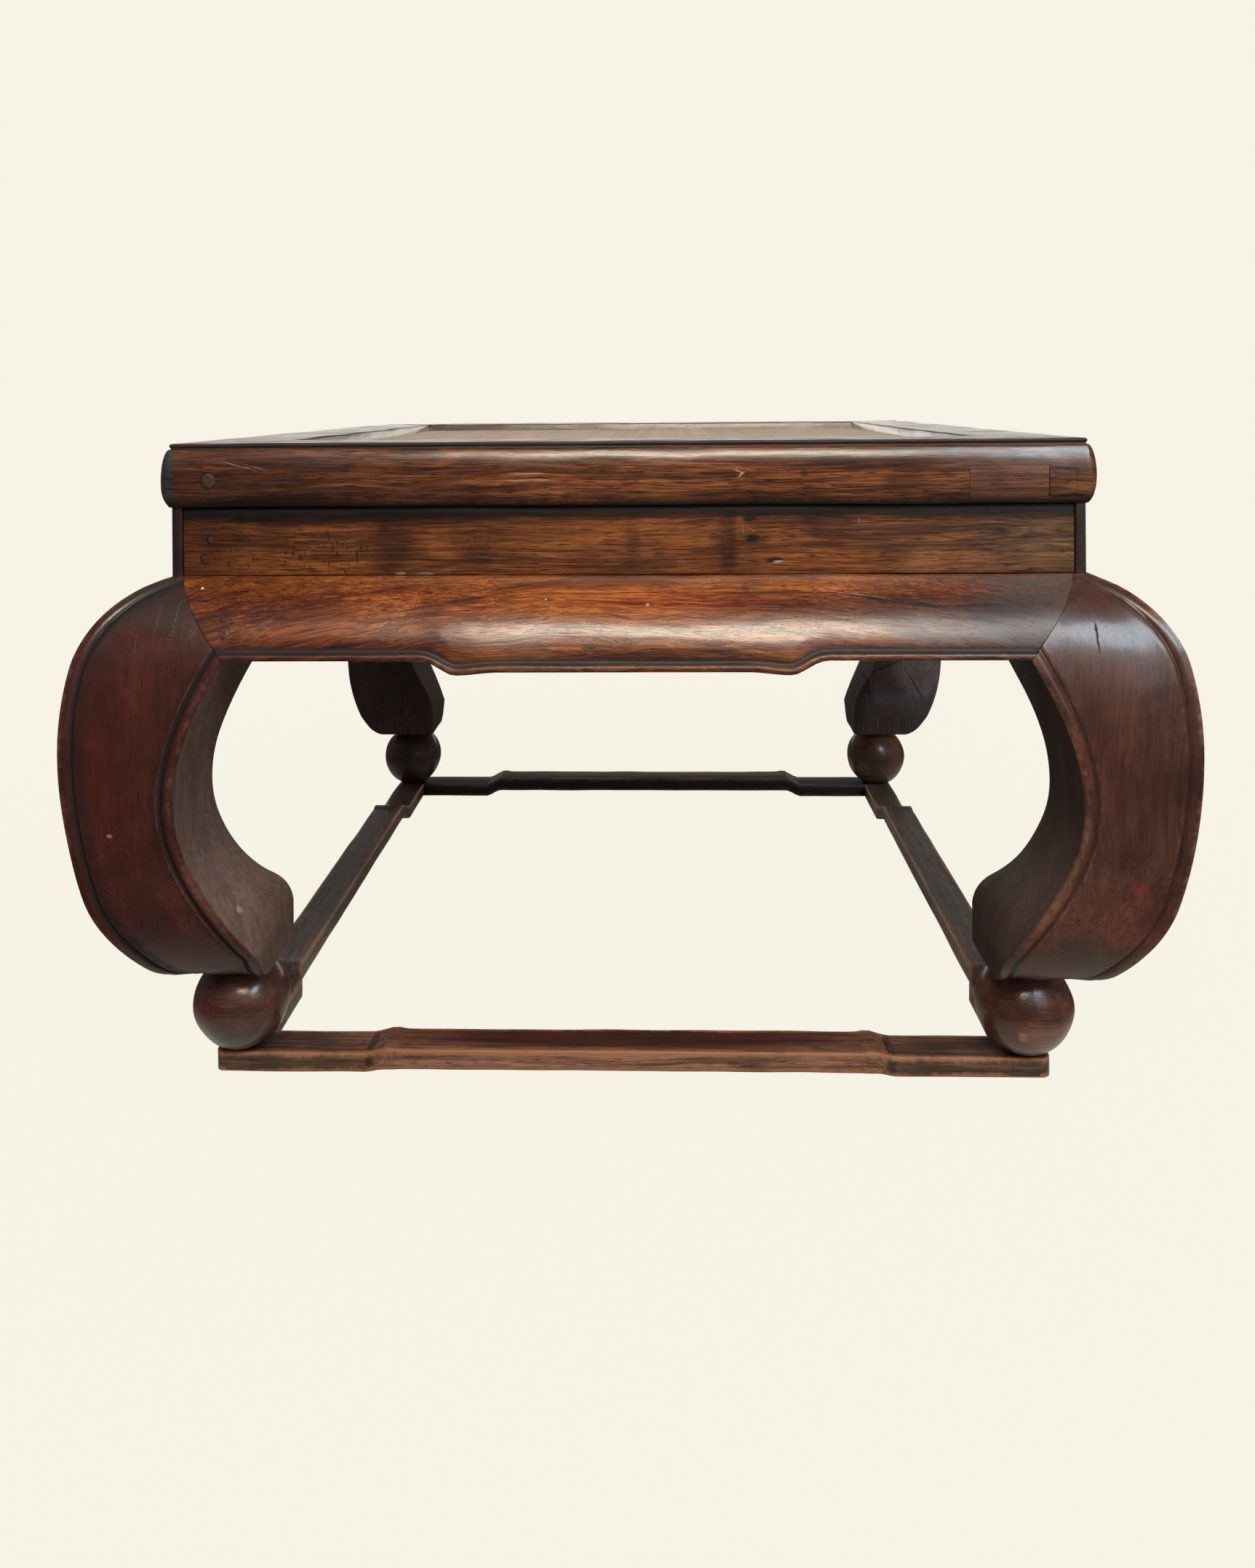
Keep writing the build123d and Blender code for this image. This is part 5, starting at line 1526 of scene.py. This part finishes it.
def woven_mat():
    """A sagging sheet with a shallow valley between every two strands."""
    half_x = opening_width / 2 - mat_edge_gap
    half_y = opening_depth / 2 - mat_edge_gap
    strands = round(2 * half_x / strand_pitch)
    bm = bmesh.new()
    grid = Matrix.Translation((0, 0, mat_level)) @ Matrix.Diagonal((half_x, half_y, 1, 1))
    bmesh.ops.create_grid(bm, x_segments=strands * 2, y_segments=34, size=1.0, matrix=grid)
    for vert in bm.verts:
        column = round((vert.co.x + half_x) / (2 * half_x) * strands * 2)
        valley = strand_valley if column % 2 == 0 else 0.0
        sag = mat_sag * (noise.noise(Vector((vert.co.x * 9, vert.co.y * 9, 4.2))) + 1)
        vert.co.z -= valley + sag
    underside = bmesh.ops.extrude_face_region(bm, geom=bm.faces[:])["geom"]
    for vert in only_verts(underside):
        vert.co.z = mat_level - mat_thickness
    return bm


def cane_material():
    """Split cane: tan strands crossed by fine weft, darker where hands and dust have reached."""
    material = bpy.data.materials.new("woven_cane")
    material.use_nodes = True
    tree = material.node_tree
    tree.nodes.clear()
    place = node(tree, "TexCoord").outputs["Object"]
    parts = node(tree, "SeparateXYZ", {0: place})
    warp = sums(tree, "MULTIPLY", parts.outputs[0], 1 / strand_pitch)
    weft = sums(tree, "MULTIPLY", parts.outputs[1], 1 / strand_pitch)
    column = node(tree, "Math", {0: warp}, operation="FLOOR").outputs[0]
    shifted = sums(tree, "ADD", weft, sums(tree, "MULTIPLY", column, 0.5))
    wave = node(tree, "Math", {0: sums(tree, "MULTIPLY", shifted, math.pi)}, operation="SINE").outputs[0]
    over = ranged(tree, wave, -0.5, 0.5)
    lengthwise = sums(tree, "MULTIPLY", parts.outputs[1], 2.0)
    strand = node(tree, "CombineXYZ", {0: column, 1: lengthwise}).outputs[0]
    number = node(tree, "CombineXYZ", {0: column}).outputs[0]
    own = node(tree, "TexWhiteNoise", {"Vector": number}).outputs[0]
    run = node(tree, "TexNoise", {"Vector": strand, "Scale": 0.9, "Detail": 3.0}).outputs[0]
    broad = speckle(tree, place, (7.0, 7.0, 7.0), 4.0, 0.6)
    tan = mixed(tree, own, (0.52, 0.390, 0.285), (0.64, 0.492, 0.366))
    streak = ranged(tree, run, 0.35, 0.7, 0.0, 0.5)
    crossing = ranged(tree, over, 0.0, 1.0, 0.55, 0.0)
    handled = ranged(tree, broad, 0.50, 0.75, 0.0, 0.45)
    for amount, browner in ((streak, (0.35, 0.245, 0.168)), (crossing, (0.23, 0.155, 0.104)),
                            (handled, (0.30, 0.205, 0.136))):
        tan = mixed(tree, amount, tan, browner)
    bump = node(tree, "Bump", {"Height": over, "Distance": 0.0005, "Strength": 0.9})
    surface = {"Base Color": tan, "Roughness": 0.55, "Normal": bump.outputs[0]}
    shader = node(tree, "BsdfPrincipled", surface)
    tree.links.new(shader.outputs[0], node(tree, "OutputMaterial").inputs[0])
    return material


set_down("woven_mat_cane", woven_mat(), [cane_material()], "mat_weave", "woven_mat")

board_tones = ((0.040, 0.022, 0.014), (0.090, 0.050, 0.030), (0.150, 0.090, 0.056))
board_finish = old_wood("bare_board", "x", 131, *board_tones, (0.2, 0.13, 0.08), rough=0.6, wax=0.0)
for name in ("mat_board", "mat_batten_front", "mat_batten_back"):
    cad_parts[name].data.materials.clear()
    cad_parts[name].data.materials.append(board_finish)


# ==== Studio ==================================================================
# A plain pale floor and background.  Two soft windows and a doorway stand ahead
# and to the right, a long pale wall far behind, and dim lights that leave no
# reflections fill in from all round.

cream = (0.93, 0.896, 0.80)
scene = bpy.context.scene
scene.view_settings.view_transform = "Standard"
scene.view_settings.look = "None"

floor_mesh = bmesh.new()
bmesh.ops.create_grid(floor_mesh, x_segments=2, y_segments=2, size=40.0)
floor_data = bpy.data.meshes.new("studio_floor")
floor_mesh.to_mesh(floor_data)
floor = bpy.data.objects.new("studio_floor", floor_data)
scene.collection.objects.link(floor)
floor_material = bpy.data.materials.new("pale_floor")
floor_material.use_nodes = True
tree = floor_material.node_tree
tree.nodes.clear()
path = node(tree, "LightPath")
matte = node(tree, "BsdfDiffuse", {"Color": (0.55, 0.52, 0.46, 1.0)})
even = node(tree, "Emission", {"Color": (*cream, 1.0), "Strength": 1.0})
dark = node(tree, "Emission", {"Color": (0.045, 0.042, 0.040, 1.0), "Strength": 1.0})
here = node(tree, "TexCoord").outputs["Object"]
reach = node(tree, "VectorMath", {0: here}, operation="LENGTH").outputs[1]
evenness = ranged(tree, reach, 0.5, 1.6, 0.985, 1.0)
seen = sums(tree, "MULTIPLY", path.outputs["Is Camera Ray"], evenness)
plain = node(tree, "MixShader", {0: seen, 1: matte.outputs[0], 2: even.outputs[0]})
away = ranged(tree, path.outputs["Ray Length"], 0.02, 0.16)
distant = sums(tree, "MULTIPLY", path.outputs["Is Glossy Ray"], away)
floor_shader = node(tree, "MixShader", {0: distant, 1: plain.outputs[0], 2: dark.outputs[0]})
tree.links.new(floor_shader.outputs[0], node(tree, "OutputMaterial").inputs[0])
floor_data.materials.append(floor_material)

world = bpy.data.worlds.new("pale_studio")
scene.world = world
world.use_nodes = True
tree = world.node_tree
tree.nodes.clear()
path = node(tree, "LightPath")
bright = node(tree, "Background", {"Color": (*cream, 1.0), "Strength": 1.0})
dim = node(tree, "Background", {"Color": (0.95, 0.97, 1.0, 1.0), "Strength": 0.12})
shiny = node(tree, "Background", {"Color": (0.90, 0.95, 1.0, 1.0), "Strength": 0.055})
in_gloss = {0: path.outputs["Is Glossy Ray"], 1: dim.outputs[0], 2: shiny.outputs[0]}
unseen = node(tree, "MixShader", in_gloss)
in_view = {0: path.outputs["Is Camera Ray"], 1: unseen.outputs[0], 2: bright.outputs[0]}
both = node(tree, "MixShader", in_view)
tree.links.new(both.outputs[0], node(tree, "OutputWorld").inputs[0])


warm = (1.0, 0.88, 0.70)
cool = (0.66, 0.87, 1.0)
plain_day = (0.98, 0.98, 1.0)
low_sun = (1.0, 0.95, 0.86)
# Name, place, what it aims at, width and height, watts, colour, and whether gloss shows it.
lights = [
    ("window", (0.09, -1.50, 1.47), (0.06, -0.37, 0.31), (0.86, 0.36), 16.0, warm, True),
    ("second_window", (0.96, -1.46, 1.44), (0.32, -0.36, 0.31), (0.56, 0.70), 13.0, cool, True),
    ("doorway", (1.05, -1.62, 0.76), (0.32, -0.36, 0.31), (0.62, 0.66), 1.6, (0.86, 0.94, 1.0), True),
    ("front_fill", (0.2, -2.6, 2.6), (0.0, 0.0, 0.25), (2.6, 1.8), 36.0, (1.0, 0.95, 0.89), False),
    ("side_fill", (2.8, -0.6, 0.9), (-0.2, -0.1, 0.2), (1.8, 1.2), 24.0, (1.0, 0.93, 0.85), False),
    ("overhead", (0.7, 1.7, 2.4), (0.2, -0.2, 0.4), (2.2, 1.6), 18.0, (0.97, 0.98, 1.0), False),
    ("back_fill", (-0.4, 2.6, 1.7), (0.0, 0.0, 0.25), (2.4, 1.6), 34.0, plain_day, False),
    ("left_fill", (-2.6, 1.1, 1.1), (0.0, 0.1, 0.25), (1.8, 1.4), 24.0, (1.0, 0.96, 0.90), False),
    ("far_wall", (0.0, 3.4, 0.59), (0.0, 0.0, 0.55), (4.4, 0.34), 9.0, low_sun, True),
]
for name, place, aim, size, power, colour, glossy in lights:
    lamp = bpy.data.lights.new(name, "AREA")
    lamp.shape = "RECTANGLE"
    lamp.size, lamp.size_y = size
    lamp.energy = power
    lamp.color = colour
    thing = bpy.data.objects.new(name, lamp)
    scene.collection.objects.link(thing)
    thing.location = place
    thing.rotation_mode = "QUATERNION"
    thing.rotation_quaternion = (Vector(aim) - Vector(place)).to_track_quat("-Z", "Y")
    thing.visible_glossy = glossy
    thing.visible_camera = False

view_height = 2156
focal_pixels = 1668.0
horizon_row = 549.0
camera_place = Vector((0.027, -1.150, 0.468))
camera_yaw = math.radians(-1.67)
camera_roll = math.radians(0.45)
camera_data = bpy.data.cameras.new("front_view")
camera_data.sensor_width = 36.0
camera_data.lens = focal_pixels / view_height * camera_data.sensor_width
camera_data.shift_y = -(view_height / 2 - horizon_row) / view_height
camera = bpy.data.objects.new("front_view", camera_data)
scene.collection.objects.link(camera)
ahead = Vector((math.sin(camera_yaw), math.cos(camera_yaw), 0.0))
right = Vector((math.cos(camera_yaw), -math.sin(camera_yaw), 0.0))
down = ahead.cross(right)
image_right = right * math.cos(camera_roll) + down * math.sin(camera_roll)
image_down = down * math.cos(camera_roll) - right * math.sin(camera_roll)
turn = Matrix((image_right, -image_down, -ahead)).transposed()
camera.matrix_world = Matrix.Translation(camera_place) @ turn.to_4x4()
scene.camera = camera
